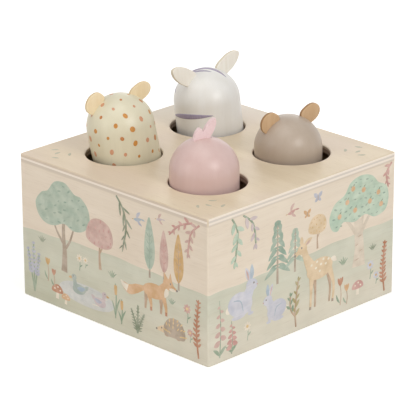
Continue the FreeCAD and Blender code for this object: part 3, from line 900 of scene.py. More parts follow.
def leafy_stem_tree():
    tree, given, result = new_recipe("leafy stem", {
        "Leaves": "Int", "Leaf Length": "Float", "Leaf Width": "Float", "Pointed": "Float",
        "Angle": "Float", "Pairs": "Bool", "Bare Share": "Float", "Tip Size": "Float",
        "Stem Width": "Float", "Seed": "Int", "Stem Ink": "Material", "Leaf Ink": "Material"})

    line = made_by(tree, "MeshToCurve", {"Mesh": given["Geometry"]})
    line = made_by(tree, "SetCurveNormal", {"Curve": line}, mode="Z_UP")
    along = add(tree, "GeometryNodeSplineParameter").outputs["Factor"]
    thickness = reckon(tree, "MULTIPLY", given["Stem Width"],
                       reckon(tree, "MULTIPLY_ADD", along, -0.6, 1.0))
    stem = made_by(tree, "SetCurveRadius", {"Curve": line, "Radius": thickness})
    section = made_by(tree, "CurvePrimitiveQuadrilateral", {"Width": 1.0, "Height": 1.0})
    stem = made_by(tree, "CurveToMesh", {"Curve": stem, "Profile Curve": section, "Fill Caps": True})
    stem = flat_ink(tree, stem, 2 * INK_COAT)
    stem = made_by(tree, "SetMaterial", {"Geometry": stem, "Material": given["Stem Ink"]})

    blade = made_by(tree, "MeshCylinder", {"Vertices": 12, "Radius": 0.5, "Depth": 1.0})
    parts = parts_of(tree, made_by(tree, "InputPosition"))
    pinched = reckon(tree, "MULTIPLY", reckon(tree, "MULTIPLY", parts[1], 2.0),
                     reckon(tree, "ABSOLUTE", parts[1]))
    half_width = blend(tree, given["Pointed"], parts[1], pinched)
    place = vector_of(tree, reckon(tree, "ADD", parts[0], 0.5), half_width, parts[2])
    blade = made_by(tree, "SetPosition", {"Geometry": blade, "Position": place})
    blade = flat_ink(tree, blade, 4 * INK_COAT)

    leafed = made_by(tree, "TrimCurve", {"Curve": line, 2: given["Bare Share"]}, mode="FACTOR")
    spots = add(tree, "GeometryNodeCurveToPoints", {"Curve": leafed, "Count": given["Leaves"]},
                mode="COUNT")
    heading = parts_of(tree, spots.outputs["Tangent"])
    heading = reckon(tree, "ARCTAN2", heading[1], heading[0])
    index = made_by(tree, "InputIndex")
    last = reckon(tree, "SUBTRACT", given["Leaves"], 1.0)
    share = reckon(tree, "DIVIDE", index, last)
    uneven = random_number(tree, 0.85, 1.1, given["Seed"])
    swing = random_number(tree, -0.12, 0.12, 8)
    smaller = reckon(tree, "SUBTRACT", given["Tip Size"], 1.0)
    growth = reckon(tree, "MULTIPLY", uneven, reckon(tree, "MULTIPLY_ADD", share, smaller, 1.0))
    scale = vector_of(tree, reckon(tree, "MULTIPLY", growth, given["Leaf Length"]),
                      reckon(tree, "MULTIPLY", growth, given["Leaf Width"]), 1.0)
    odd = reckon(tree, "MODULO", index, 2.0)
    grown = []
    for side in (1.0, -1.0):
        own_turn = odd if side > 0 else reckon(tree, "SUBTRACT", 1.0, odd)
        chosen = reckon(tree, "MAXIMUM", own_turn, given["Pairs"])
        turn = reckon(tree, "ADD", reckon(tree, "MULTIPLY_ADD", given["Angle"], side, heading), swing)
        grown.append((chosen, turn))
    at_tip = reckon(tree, "COMPARE", index, last, 0.5)
    grown.append((at_tip, heading))
    leaves = []
    for chosen, turn in grown:
        rotation = vector_of(tree, 0.0, 0.0, turn)
        leaves.append(made_by(tree, "InstanceOnPoints", {
            "Points": spots.outputs[0], "Selection": chosen, "Instance": blade, "Rotation": rotation,
            "Scale": scale}))
    joined = add(tree, "GeometryNodeJoinGeometry")
    for geometry in reversed(leaves):
        tree.links.new(geometry, joined.inputs[0])
    lifted = random_number(tree, 0.0, 3 * INK_COAT, 3)
    lifted = vector_of(tree, 0.0, 0.0, lifted)
    leaves = made_by(tree, "TranslateInstances", {"Instances": joined.outputs[0], "Translation": lifted})
    leaves = made_by(tree, "RealizeInstances", {0: leaves})
    leaves = made_by(tree, "SetMaterial", {"Geometry": leaves, "Material": given["Leaf Ink"]})
    plant = add(tree, "GeometryNodeJoinGeometry")
    tree.links.new(leaves, plant.inputs[0])
    tree.links.new(stem, plant.inputs[0])
    tree.links.new(plant.outputs[0], result.inputs[0])
    return tree


leafy_stem = leafy_stem_tree()


def sprig(sheet, line, leaves, size, stem_ink, leaf_ink, angle=42.0, pointed=1.0, pairs=False, bare=0.12,
          tip=0.6, stem_width=0.45):
    """Prints a leafy stem along a line. The size is the length and the width of its largest leaf."""
    points = [sheet.place @ Vector((spot[0], spot[1], 0)) for spot in along_path(line, 5)]
    source = mesh_object("stem line", points, [(k, k + 1) for k in range(len(points) - 1)])
    sheet.adopt(grow(
        leafy_stem, source, leaves=leaves, leaf_length=size[0] * sheet.size,
        leaf_width=size[1] * sheet.size, pointed=pointed, angle=math.radians(angle), pairs=pairs,
        bare_share=bare, tip_size=tip, stem_width=stem_width * sheet.size, seed=leaves,
        stem_ink=INKS[stem_ink], leaf_ink=INKS[leaf_ink]))


print("leafy stem tree with", len(leafy_stem.nodes), "nodes")

# %% [markdown]
# ## Dabs in a crown
#
# The crown of a tree is one pale blob, and a second, stronger ink is dabbed into it, so that it looks
# leafy. The places come from a Poisson distribution over the crown's own outline, drawn a little smaller,
# so that no dab hangs over its edge. Each dab is a small oval with its own length and slope.

# %% Dab tree
def dab_tree():
    tree, given, result = new_recipe("dabs", {
        "Spacing": "Float", "Length": "Float", "Width": "Float", "Slope": "Float", "Seed": "Int",
        "Ink": "Material"})
    scatter = scattered(tree, given, 2.0)
    dab = made_by(tree, "MeshCylinder", {"Vertices": 10, "Radius": 0.5, "Depth": 1.0})
    dab = flat_ink(tree, dab, 3 * INK_COAT)
    slope = random_number(tree, -0.5, 0.5, given["Seed"])
    slope = reckon(tree, "ADD", slope, given["Slope"])
    size = random_number(tree, 0.55, 1.0, 7)
    length = reckon(tree, "MULTIPLY", size, given["Length"])
    width = reckon(tree, "MULTIPLY", size, given["Width"])
    dabs = made_by(tree, "InstanceOnPoints", {
        "Points": scatter["Points"], "Instance": dab, "Rotation": vector_of(tree, 0.0, 0.0, slope),
        "Scale": vector_of(tree, length, width, 1.0)})
    dabs = made_by(tree, "RealizeInstances", {0: dabs})
    dabs = made_by(tree, "SetMaterial", {"Geometry": dabs, "Material": given["Ink"]})
    tree.links.new(dabs, result.inputs[0])
    return tree


scattered_dabs = dab_tree()


def dabbed(sheet, outline, ink, dab_ink, spacing=2.6, size=(1.3, 0.5), slope=0.3, seed=1):
    """Prints an outline with dabs of a second ink inside it."""
    sheet.stamp(outline, ink)
    middle = sum((Vector(spot[:2]) for spot in outline), Vector((0, 0))) / len(outline)
    inner = [middle.lerp(Vector(spot[:2]), 0.86) for spot in outline]
    line = [sheet.place @ spot.to_3d() for spot in inner]
    source = mesh_object("crown", line, faces=[tuple(range(len(line)))])
    sheet.adopt(grow(
        scattered_dabs, source, spacing=spacing * sheet.size, length=size[0] * sheet.size,
        width=size[1] * sheet.size, slope=slope, seed=seed, ink=INKS[dab_ink]))


print("dab tree with", len(scattered_dabs.nodes), "nodes")

# %% [markdown]
# ## Trees of the woodland
#
# Now the motifs. Each is a function that draws itself from its foot up, in millimetres, so that it can be
# printed in several places, larger or smaller and looking either way. The trees come first: a broad one
# with a cloud for a crown, a small round one, a slim poplar, a fir made of drooping strokes, and an apple
# tree.

# %% Trees
def broad_tree(sheet, crown, dabs, seed):
    sheet.stamp(brush((3.4, 2.0, 1.6), (0, 0), (0.5, 8), (0, 15), (0.4, 22)), "bark")
    sheet.stamp(brush((1.5, 1.0, 0.7), (0.3, 9), (3.6, 13.4), (6.6, 21)), "bark")
    sheet.stamp(brush((1.4, 1.0, 0.7), (0.3, 11), (-3.6, 15.6), (-6.4, 21)), "bark")
    outline = blob((-14, 20), (-15.4, 25), (-12, 29.4), (-8.4, 31), (-4.4, 35.4), (1.6, 36.2), (6.4, 33),
                   (10.4, 32.4), (14.2, 28.6), (14.6, 23), (11, 19.2), (5.4, 18), (0.6, 19.6),
                   (-5, 17.6), (-10, 17.4))
    dabbed(sheet, outline, crown, dabs, spacing=2.9, size=(2.2, 0.8), slope=0.25, seed=seed)


def round_tree(sheet, crown, dabs, seed):
    sheet.stamp(brush((1.5, 0.9, 0.7), (0, 0), (-0.3, 6), (0.2, 12)), "twig")
    sheet.stamp(brush((0.8, 0.5), (-0.2, 6.4), (2.6, 11)), "twig")
    outline = blob((-6.6, 10.4), (-7.2, 14.4), (-4.6, 18.6), (0, 20), (4.8, 18.4), (7, 14.2), (6, 10),
                   (0.4, 8.6))
    dabbed(sheet, outline, crown, dabs, spacing=2.1, size=(1.5, 0.7), slope=1.2, seed=seed)


def poplar(sheet, crown, veins):
    sheet.stamp(brush((1.1, 0.7), (0, 0), (0.1, 7)), "bark")
    sheet.stamp(blob((0, 3.4), (2.5, 7), (3, 13), (1.9, 20), (0, 25.4), (-1.9, 20), (-2.9, 12.6),
                     (-2.4, 7)), crown)
    sheet.stamp(brush((0.5, 0.3), (0, 4), (0.1, 12), (0, 21)), veins)
    for level in (8, 11, 14, 17):
        for side in (-1, 1):
            sheet.stamp(leaf((0, level), (side * 1.6, level + 2.0), 0.4, -0.2 * side), veins)


def fir(sheet, ink, levels=6):
    height = 4.0 + 3.2 * levels
    sheet.stamp(brush((1.2, 0.4), (0, 0), (0, height)), "bark")
    for level in range(levels):
        low = 3.6 + 3.2 * level
        reach = 6.4 * (1 - level / (levels + 0.6))
        for side in (-1, 1):
            sheet.stamp(leaf((0, low + 2.6), (side * reach, low - 0.6), 1.7, 0.5 * side), ink)
            sheet.stamp(leaf((0, low + 3.6), (side * reach * 0.7, low + 1.4), 1.3, 0.4 * side), ink)


def apple_tree(sheet, crown, dabs, fruit, seed):
    sheet.stamp(brush((8.0, 5.6, 5.0, 5.4), (0, 0), (0.4, 8), (-0.2, 15), (0, 21)), "pale bark")
    for reach in (-9.5, -4.0, 3.0, 9.0):
        sheet.stamp(brush((2.2, 0.9), (reach * 0.18, 15), (reach * 0.6, 20), (reach, 24)), "pale bark")
    for level, start, end in ((3, -2.6, 0.6), (6.5, 0.2, 2.4), (9.5, -2.2, -0.2), (13, -0.8, 1.8)):
        sheet.stamp(leaf((start, level), (end, level + 0.6), 0.35), "twig")
    outline = blob((-16.6, 20.4), (-18, 25.6), (-15, 31), (-9, 33.6), (-5.4, 38), (1, 39.6), (7.4, 38),
                   (11.6, 34), (16.4, 31.4), (18, 26), (16, 20.8), (9.6, 19.4), (3.6, 22), (-3, 20.4),
                   (-9.6, 22), (-13, 19))
    dabbed(sheet, outline, crown, dabs, spacing=2.7, size=(2.0, 0.8), slope=0.1, seed=seed)
    for u, v in ((-12, 25), (-7.4, 30), (-2.6, 25.4), (2.4, 33), (6.4, 27), (11.6, 29.6), (13.4, 24),
                 (-4, 35)):
        sheet.stamp(oval((u, v), 1.2, 1.15), fruit)
        sheet.stamp(leaf((u, v + 1.0), (u + 1.1, v + 2.0), 0.5), "sprig green")


print("five kinds of trees")

# %% [markdown]
# ## Animals of the woodland
#
# The animals are plain little silhouettes without an outline, as in a nature print: ovals for a body and a
# head, strokes for legs, leaves for ears. Shapes in the same ink run into one another, because the ink's
# clouds depend only on the place, so a body can be put together from simple parts.

# %% Animals
def rabbit(sheet, coat, shade):
    for root, tip, ink in (((3.6, 12), (3.2, 18.4), shade), ((4.4, 12), (6.2, 17.8), coat)):
        sheet.stamp(leaf(root, tip, 2.0, 0.2), ink)
    sheet.stamp(oval((14.4, 4.4), 1.4, 1.3), "cream")
    sheet.stamp(oval((8.8, 5.2), 6.0, 4.5, 12), coat)
    sheet.stamp(brush((5.4, 3.8), (6, 6), (3.8, 10)), coat)
    sheet.stamp(oval((3.2, 10.8), 2.8, 2.2, 12), coat)
    sheet.stamp(brush((1.9, 1.3), (4.6, 6), (4.2, 0.6)), coat)
    sheet.stamp(oval((3.8, 0.6), 1.4, 0.6), coat)
    sheet.stamp(oval((9.8, 0.8), 3.2, 0.85), coat)
    sheet.stamp(brush((0.3, 0.5, 0.3), (7.4, 2.4), (8.6, 6.2), (12, 7.2)), shade)
    sheet.stamp(leaf((4.6, 12.6), (6, 17), 0.8, 0.1), "pink")
    sheet.stamp(oval((2.2, 11.3), 0.36, 0.4), "charcoal")
    sheet.stamp(oval((0.6, 10.4), 0.35, 0.25), "rose")


def fox(sheet, coat):
    sheet.stamp(brush((1.2, 3.4, 3.8, 1.6), (4.4, 8), (0.4, 6.6), (-3.6, 5.2), (-7, 6.6)), coat)
    sheet.stamp(brush((3.0, 1.8, 0.4), (-4.4, 5.4), (-6.4, 6.2), (-8, 7.6)), "cream")
    for foot, knee in ((4.6, 5.2), (12.4, 12.4)):
        sheet.stamp(brush((2.4, 1.2, 0.9), (knee, 7), (foot + 0.2, 3), (foot, 0.3)), "twig")
    sheet.stamp(oval((9.2, 8), 5.8, 2.9, 3), coat)
    for foot, knee in ((7.4, 6.0), (15, 13.6)):
        sheet.stamp(brush((2.6, 1.3, 0.9), (knee, 7.4), (foot, 3), (foot, 0.3)), coat)
        sheet.stamp(brush((1.1, 1.0), (foot, 1.6), (foot + 0.1, 0.2)), "rust")
    sheet.stamp(brush((4.8, 3.4), (12.6, 8.6), (15.6, 11.8)), coat)
    sheet.stamp(leaf((14.4, 7), (16, 11.4), 2.2, -0.2), "cream")
    sheet.stamp([(14.2, 13.4), (14.0, 16.8), (16.2, 14.4)], coat)
    sheet.stamp([(16.4, 14.4), (17.4, 17), (18.2, 13.6)], coat)
    sheet.stamp(oval((16.2, 12.6), 2.6, 2.1, -8), coat)
    sheet.stamp(brush((2.6, 0.6), (17.2, 12.2), (20.6, 11.2)), coat)
    sheet.stamp(leaf((16.6, 11), (20.2, 11), 1.2), "cream")
    sheet.stamp(oval((17.4, 13), 0.34, 0.38), "charcoal")
    sheet.stamp(oval((20.5, 11.3), 0.45, 0.4), "charcoal")


def fawn(sheet, coat):
    for foot, knee, hip in ((10.9, 11, 10.4), (18.2, 18.6, 17.2)):
        sheet.stamp(brush((2.4, 1.0, 0.8), (hip, 13), (knee, 6.6), (foot, 0.6)), "twig")
    sheet.stamp(oval((13.2, 14.4), 6.6, 3.9, 4), coat)
    for foot, knee, hip in ((8.6, 8.9, 9.2), (20, 20.4, 18)):
        sheet.stamp(brush((3.0, 1.2, 0.9), (hip, 13.4), (knee, 6.8), (foot, 0.6)), coat)
        sheet.stamp(brush((0.9, 1.1), (foot, 1.2), (foot - 0.1, 0.1)), "bark")
    sheet.stamp(leaf((18.8, 16.6), (21.8, 15), 2.0, 0.3), "cream")
    sheet.stamp(brush((5.4, 3.0, 2.4), (9.4, 15), (6.4, 20), (5.2, 23.4)), coat)
    sheet.stamp(leaf((5.2, 24.6), (9.2, 27), 1.9, 0.3), coat)
    sheet.stamp(leaf((4.2, 24.8), (4, 28.6), 1.7, 0.2), coat)
    sheet.stamp(oval((4.2, 24), 2.5, 1.9, 18), coat)
    sheet.stamp(brush((2.4, 1.3), (3.4, 23.8), (0.8, 22.4)), coat)
    sheet.stamp(leaf((5.8, 24.9), (8.4, 26.5), 0.8), "pink")
    for u, v in ((9, 16.6), (11.2, 15), (11.8, 17.2), (13.8, 15.8), (15, 17.4), (16.2, 15.4), (17.6, 16.8),
                 (13.2, 13.4)):
        sheet.stamp(oval((u, v), 0.55, 0.42, 20), "cream")
    sheet.stamp(oval((3.9, 24.5), 0.36, 0.4), "charcoal")
    sheet.stamp(oval((0.7, 22.4), 0.45, 0.4), "charcoal")


def hedgehog(sheet, spines):
    sheet.stamp(brush((3.6, 2.2, 0.5), (4.6, 2.4), (1.6, 1.9), (-0.8, 1.3)), "peach")
    for foot in (4, 9.4):
        sheet.stamp(oval((foot, 0.4), 1.1, 0.5), "twig")
    sheet.stamp(blob((3, 0.5), (2.6, 3.4), (4.8, 6.4), (8.2, 7.2), (11.2, 5.8), (12.6, 2.8), (12, 0.5),
                     (7.4, 0.2)), spines)
    for ring, count in ((0.45, 4), (0.7, 6), (0.93, 8)):
        for k in range(count):
            turn = math.radians(8 + 164 * k / (count - 1))
            root = Vector((7.8 - 4.6 * ring * math.cos(turn), 1.0 + 5.6 * ring * math.sin(turn)))
            way = Vector((0.5 - math.cos(turn), math.sin(turn) + 0.2)).normalized()
            sheet.stamp(leaf(root, root + way * 1.5, 0.45), "yellow")
    sheet.stamp(oval((1.6, 2.3), 0.3, 0.34), "charcoal")
    sheet.stamp(oval((-0.8, 1.4), 0.4, 0.36), "charcoal")


def duck(sheet, coat, wing):
    sheet.stamp(leaf((7, 3), (10.2, 4.8), 1.8, -0.3), coat)
    sheet.stamp(blob((1, 2.4), (2.4, 4.2), (5.4, 4.4), (8.6, 3.6), (7.6, 1.2), (4.4, 0.2), (1.8, 0.8)),
                coat)
    sheet.stamp(brush((2.4, 1.8), (2.6, 3), (2, 6.2)), coat)
    sheet.stamp(leaf((1.2, 6.5), (-1.2, 6.1), 1.0), "ochre")
    sheet.stamp(oval((1.9, 6.8), 1.4, 1.25), coat)
    sheet.stamp(leaf((3.4, 2.6), (8.4, 3.4), 1.9, -0.3), wing)
    sheet.stamp(oval((1.5, 7.1), 0.26, 0.28), "charcoal")


def bird(sheet, coat, wing):
    sheet.stamp(leaf((0, 0), (6.4, 1.4), 2.0, -0.4), coat)
    sheet.stamp(leaf((5.4, 1.2), (9, 1), 0.9), coat)
    sheet.stamp(leaf((2.4, 0.8), (5.4, 5), 1.9, 0.5), wing)
    sheet.stamp(leaf((2.8, 0.6), (6.6, -2.6), 1.5, -0.4), wing)
    sheet.stamp(leaf((0.4, 0.1), (-1.2, -0.1), 0.5), "ochre")


def butterfly(sheet, wing):
    for side in (-1, 1):
        sheet.stamp(leaf((0, 0), (side * 2.4, 2.4), 1.8), wing)
        sheet.stamp(leaf((0, 0), (side * 1.8, -1.4), 1.3), wing)
    sheet.stamp(leaf((0, -1.3), (0, 1.5), 0.5), "bark")


print("rabbit, fox, fawn, hedgehog, duck, bird and butterfly")

# %% [markdown]
# ## Small plants
#
# Between trees and animals the ground is filled with small things: flowers, mushrooms, tufts of grass,
# reeds by the pond, and sprigs. Hanging branches come into the picture from above and hold it together.

# %% Small plants
def daisy(sheet, petals, stalk=6.0, count=8, centre="yellow"):
    sheet.stamp(brush((0.45, 0.3), (0, 0), (0.4, stalk * 0.5), (0, stalk)), "moss")
    sheet.stamp(leaf((0.2, stalk * 0.3), (2.0, stalk * 0.55), 0.7), "moss")
    for k in range(count):
        turn = math.tau * k / count
        way = Vector((math.cos(turn), math.sin(turn)))
        middle = Vector((0, stalk))
        sheet.stamp(leaf(middle + way * 0.4, middle + way * 2.1, 0.9), petals)
    sheet.stamp(oval((0, stalk), 0.7, 0.65), centre)


def tulip(sheet, petals, stalk=8.0):
    sheet.stamp(brush((0.5, 0.35), (0, 0), (0.5, stalk * 0.5), (0, stalk)), "twig")
    sheet.stamp(leaf((0.1, 0.6), (-2.2, stalk * 0.6), 0.9, 0.4), "moss")
    for lean in (-1.4, 1.4, 0):
        sheet.stamp(leaf((0, stalk - 0.4), (lean, stalk + 3.2), 1.5, 0.1 * lean), petals)


def mushroom(sheet, cap):
    sheet.stamp(brush((1.7, 1.2), (0, 0), (0.2, 3.2)), "cream")
    sheet.stamp(blob((-3, 2.8), (-2.3, 4.8), (0.2, 5.8), (2.6, 4.8), (3.2, 2.8), (0.1, 2.3)), cap)
    for u, v in ((-1.3, 3.9), (0.4, 4.8), (1.7, 3.6)):
        sheet.stamp(oval((u, v), 0.4, 0.35), "cream")


def grass(sheet, ink, blades=5):
    for k in range(blades):
        lean = (k - (blades - 1) / 2) * 1.2
        sheet.stamp(leaf((lean * 0.25, 0), (lean * 1.3, 4.2 - abs(lean) * 0.6), 0.6, 0.15 * lean), ink)


def reed(sheet, height=13.0):
    sheet.stamp(brush((0.5, 0.4), (0, 0), (0.5, height * 0.6), (0.2, height)), "moss")
    sheet.stamp(brush((0.9, 1.5, 1.3), (0.35, height - 4.2), (0.25, height - 0.6)), "ochre")
    sheet.stamp(leaf((0, 0.4), (2.6, height * 0.62), 0.8, 0.5), "moss")
    sheet.stamp(leaf((0, 0.4), (-1.8, height * 0.5), 0.7, -0.4), "moss")


def foxglove(sheet, bells, height=24.0):
    sheet.stamp(brush((0.6, 0.3), (0, 0), (0.6, height * 0.5), (0, height)), "moss")
    for side in (-1, 1):
        sheet.stamp(leaf((0, 0.6), (side * 3.6, 4.2), 1.5, 0.4 * side), "moss")
    for k in range(9):
        level = height * (0.3 + 0.68 * k / 9)
        side = 1 if k % 2 else -1
        size = 1.0 - 0.07 * k
        root = Vector((0.4, level))
        sheet.stamp(leaf(root, root + Vector((side * 3.6, -1.9)) * size, 2.5 * size, -0.3 * side), bells)


def fern(sheet, ink, height=16.0):
    for lean, share in ((-4.6, 0.8), (0.6, 1.0), (5.2, 0.75)):
        line = [(0, 0), (lean * 0.4, height * 0.5 * share), (lean, height * share)]
        sprig(sheet, line, 8, (3.6, 0.9), ink, ink, angle=56, pairs=True, tip=0.3, stem_width=0.4)


def lavender(sheet, ink, height=20.0):
    for lean, share in ((-3.2, 0.85), (0, 1.0), (3.0, 0.8)):
        line = [(0, 0), (lean * 0.5, height * 0.5 * share), (lean, height * share)]
        sprig(sheet, line, 7, (2.2, 1.3), "moss", ink, angle=42, pointed=0.4, pairs=True, bare=0.45,
              stem_width=0.4)


def pond(sheet):
    sheet.stamp(blob((-17, 0), (-12, 3.6), (-2, 4.8), (9, 4), (17, 1), (13.6, -3.2), (3, -4.8),
                     (-10, -3.8)), "pond")
    for u, v, reach in ((-8, 1.8, 5), (3, -2.6, 6), (9, 1.6, 4)):
        sheet.stamp(leaf((u, v), (u + reach, v + 0.2), 0.4), "cream")


print("daisy, tulip, mushroom, grass, reed, foxglove, fern, lavender and pond")

# %% [markdown]
# ## The four sides
#
# Every side gets its own picture: a few large motifs on the horizon, animals in the middle, small plants
# below and something hanging from the top. The first two numbers of a motif are the place of its foot in
# millimetres. A motif that stands before another one is printed over it. The vertical edges stay free for a
# few millimetres, as a printer keeps them.

# %% Front side
RUST_STEM = dict(size=(3.6, 1.4), stem_ink="rust", leaf_ink="rust", angle=50, pairs=True, bare=0.2)
ROSE_BRANCH = dict(size=(5.0, 1.9), stem_ink="rose", leaf_ink="pink", angle=48, pointed=0.8)
WILLOW_BRANCH = dict(size=(8.0, 1.25), stem_ink="sprig green", leaf_ink="sprig green", angle=32)
MAUVE_BRANCH = dict(size=(6.4, 2.4), stem_ink="moss", leaf_ink="mauve", angle=42, pointed=0.7)


def front_side():
    sheet = Sheet("front")
    draw = sheet.draw
    draw(33, 22, broad_tree, "teal", "deep teal", seed=2, size=1.38)
    draw(61, 31, round_tree, "pink", "rose", seed=4, size=1.4, over=1)
    draw(98, 37, poplar, "teal", "deep teal", size=1.3)
    draw(108.5, 39, poplar, "pink", "rose", size=1.05)
    draw(119, 36, poplar, "ochre", "twig", size=1.2)
    draw(50, 13, pond, size=1.25)
    draw(38, 12, duck, "sea blue", "dusk blue", size=1.35, over=1)
    draw(66, 9.5, duck, "mauve", "periwinkle", size=1.2, flip=True, over=1)
    draw(72, 7, reed, size=1.5, over=1)
    draw(76.5, 5, reed, height=10.0, size=1.4, over=1)
    draw(88, 19, fox, "apricot", size=1.45, over=1)
    draw(104, 8.5, hedgehog, "bark", size=1.55)
    draw(9, 4, lavender, "periwinkle", size=1.35)
    draw(88.5, 3.5, fern, "sprig green", size=0.95)
    draw(125, 20, daisy, "rose", size=1.3)
    draw(127, 10, daisy, "rose", stalk=5.0, size=1.05)
    draw(45, 26, daisy, "cream", size=1.15)
    draw(49.6, 28.6, daisy, "cream", stalk=4.6, size=0.95)
    draw(27, 5, mushroom, "rust", size=1.4)
    draw(33.6, 3.6, mushroom, "apricot", size=1.05, over=1)
    draw(20, 13, tulip, "ochre", size=1.2)
    draw(24.6, 11, tulip, "rust", stalk=6.5, size=1.05, over=1)
    draw(70, 29, grass, "moss", size=1.1)
    draw(114, 27, grass, "moss", size=0.9)
    draw(16, 34, grass, "sprig green")
    draw(86.5, 66, bird, "dusk blue", "periwinkle", size=0.95)
    draw(103, 70.4, bird, "mauve", "pink", size=0.75)
    sprig(sheet, [(133, 3), (131.6, 17), (133, 33)], 10, **RUST_STEM)
    sprig(sheet, [(74, 75.4), (79, 69), (81, 60), (79, 50)], 9, **WILLOW_BRANCH)
    sprig(sheet, [(134, 75), (128, 69), (125.8, 58)], 8, **ROSE_BRANCH)
    sprig(sheet, [(129, 75), (120, 71.4), (114, 66)], 7, (4.2, 1.6), "rose", "rose", angle=48, pointed=0.8)
    return sheet.finish()


front_print = front_side()
print("front side:", len(front_print.data.polygons), "faces")

# %% [markdown]
# ## The right side
#
# The right side has an apple tree and two firs, with rabbits and a fawn in the grass. Foxgloves frame it on
# the left.

# %% Right side
def right_side():
    sheet = Sheet("right")
    draw = sheet.draw
    draw(112, 23, apple_tree, "mint", "deep teal", "apricot", seed=3, size=1.28)
    draw(50, 31, fir, "deep teal", size=1.5)
    draw(63, 34, fir, "teal", levels=5, size=1.2, over=1)
    draw(80, 42, round_tree, "peach", "ochre", seed=8, size=0.95)
    draw(36, 20, rabbit, "lilac", "dusk blue", size=1.5, flip=True)
    draw(39, 11, rabbit, "lilac", "dusk blue", size=1.2, over=1)
    draw(62, 9, fawn, "peach", size=1.5, over=2)
    draw(8, 3, foxglove, "pink", size=1.3)
    draw(16.5, 2.6, foxglove, "rose", height=15.0, size=1.2, over=1)
    draw(98, 5, tulip, "rust", size=1.4)
    draw(103, 4, tulip, "apricot", stalk=6.5, size=1.2, over=1)
    draw(111.5, 7, mushroom, "rose", size=1.4)
    draw(121.4, 13, daisy, "lilac", centre="ochre", size=1.35)
    draw(126.2, 9, daisy, "lilac", centre="ochre", stalk=4.6, size=1.1)
    draw(28, 6.5, daisy, "cream", size=1.3)
    draw(100, 27, grass, "moss", size=1.2)
    draw(123, 29, grass, "sprig green")
    draw(80, 70, butterfly, "periwinkle", size=1.3)
    draw(72, 63, butterfly, "apricot", size=1.1)
    draw(57, 67, bird, "rose", "pink", size=1.0)
    sprig(sheet, [(64, 3), (63.4, 13), (65.4, 28)], 9, (4.8, 1.8), "twig", "olive", angle=40, pointed=0.8,
          bare=0.25)
    sprig(sheet, [(63.4, 9), (60, 14), (59.6, 21)], 5, (4.2, 1.6), "twig", "moss", angle=40, pointed=0.9,
          bare=0.3)
    sprig(sheet, [(133, 3), (131.4, 15), (132.6, 30)], 10, **RUST_STEM)
    sprig(sheet, [(17, 75.4), (21, 67), (19, 52)], 8, (7.0, 2.8), "moss", "mint", angle=42, pointed=0.7)
    sprig(sheet, [(25, 75.2), (32, 69), (34, 58)], 7, **MAUVE_BRANCH)
    sprig(sheet, [(137, 75), (133, 70), (134, 64)], 6, (4.4, 1.5), "rose", "rose", angle=42, pointed=0.9)
    return sheet.finish()


right_print = right_side()
print("right side:", len(right_print.data.polygons), "faces")

# %% [markdown]
# ## The back and the left side
#
# The two other sides use the same motifs in another order, with other seeds, so that no two sides look
# alike.

# %% Back and left sides
def back_side():
    sheet = Sheet("back")
    draw = sheet.draw
    draw(17, 33, fir, "teal", levels=5, size=1.25)
    draw(30, 30, fir, "deep teal", size=1.5, over=1)
    draw(78, 26, broad_tree, "mint", "deep teal", seed=6, size=1.3)
    draw(102.6, 36, poplar, "ochre", "twig", size=1.2)
    draw(121, 33, round_tree, "pink", "rose", seed=9, size=1.45)
    draw(36, 11, fawn, "peach", size=1.45, over=2)
    draw(88, 16, rabbit, "lilac", "dusk blue", size=1.45)
    draw(125, 10, hedgehog, "bark", size=1.5, flip=True)
    draw(9, 4, lavender, "periwinkle", size=1.3)
    draw(25, 4.5, fern, "sprig green", size=1.05)
    draw(72, 5.5, mushroom, "rust", size=1.5)
    draw(79, 4.2, mushroom, "apricot", size=1.1, over=1)
    draw(87.4, 4.6, tulip, "rust", size=1.3)
    draw(41, 5, daisy, "cream", size=1.2)
    draw(99, 7, grass, "moss", size=1.3)
    draw(70, 24, grass, "sprig green", size=1.1)
    draw(58.5, 67, bird, "dusk blue", "periwinkle", flip=True)
    draw(109, 70, butterfly, "apricot", size=1.3)
    sprig(sheet, [(133, 3), (131.6, 14), (133, 28)], 10, **RUST_STEM)
    sprig(sheet, [(44, 75.4), (41, 67), (42, 54)], 8, **WILLOW_BRANCH)
    sprig(sheet, [(127, 75.2), (132, 70), (131.4, 61)], 8, **ROSE_BRANCH)
    return sheet.finish()


def left_side():
    sheet = Sheet("left")
    draw = sheet.draw
    draw(27, 22, apple_tree, "mint", "deep teal", "apricot", seed=5, size=1.25)
    draw(60, 37, poplar, "pink", "rose", size=1.2)
    draw(70, 35, poplar, "teal", "deep teal", size=1.3)
    draw(116, 25, broad_tree, "teal", "deep teal", seed=11, size=1.3)
    draw(96, 12, pond, size=1.2)
    draw(84, 11, duck, "mauve", "periwinkle", size=1.35, over=1)
    draw(104, 9, duck, "sea blue", "dusk blue", size=1.15, over=1)
    draw(120.5, 7, reed, size=1.45, over=1)
    draw(98, 27, rabbit, "lilac", "dusk blue", size=1.2, flip=True)
    draw(66, 18, fox, "apricot", size=1.4, flip=True)
    draw(9, 4, foxglove, "rose", height=20.0, size=1.25)
    draw(48, 3, fern, "sprig green", size=0.85)
    draw(30, 7, mushroom, "rust", size=1.4)
    draw(64, 4, tulip, "ochre", size=1.2)
    draw(127, 14, daisy, "rose", size=1.3)
    draw(19, 8, daisy, "cream", size=1.2)
    draw(71, 9, grass, "moss")
    draw(107, 21, grass, "sprig green")
    draw(78, 62, butterfly, "periwinkle", size=1.2)
    sprig(sheet, [(133, 3), (131.4, 13), (132.4, 26)], 9, **RUST_STEM)
    sprig(sheet, [(50, 75.4), (54, 68), (53, 58)], 8, **MAUVE_BRANCH)
    sprig(sheet, [(85, 75.4), (89, 69), (88, 57)], 8, (7.4, 1.25), "sprig green", "sprig green", angle=32)
    return sheet.finish()


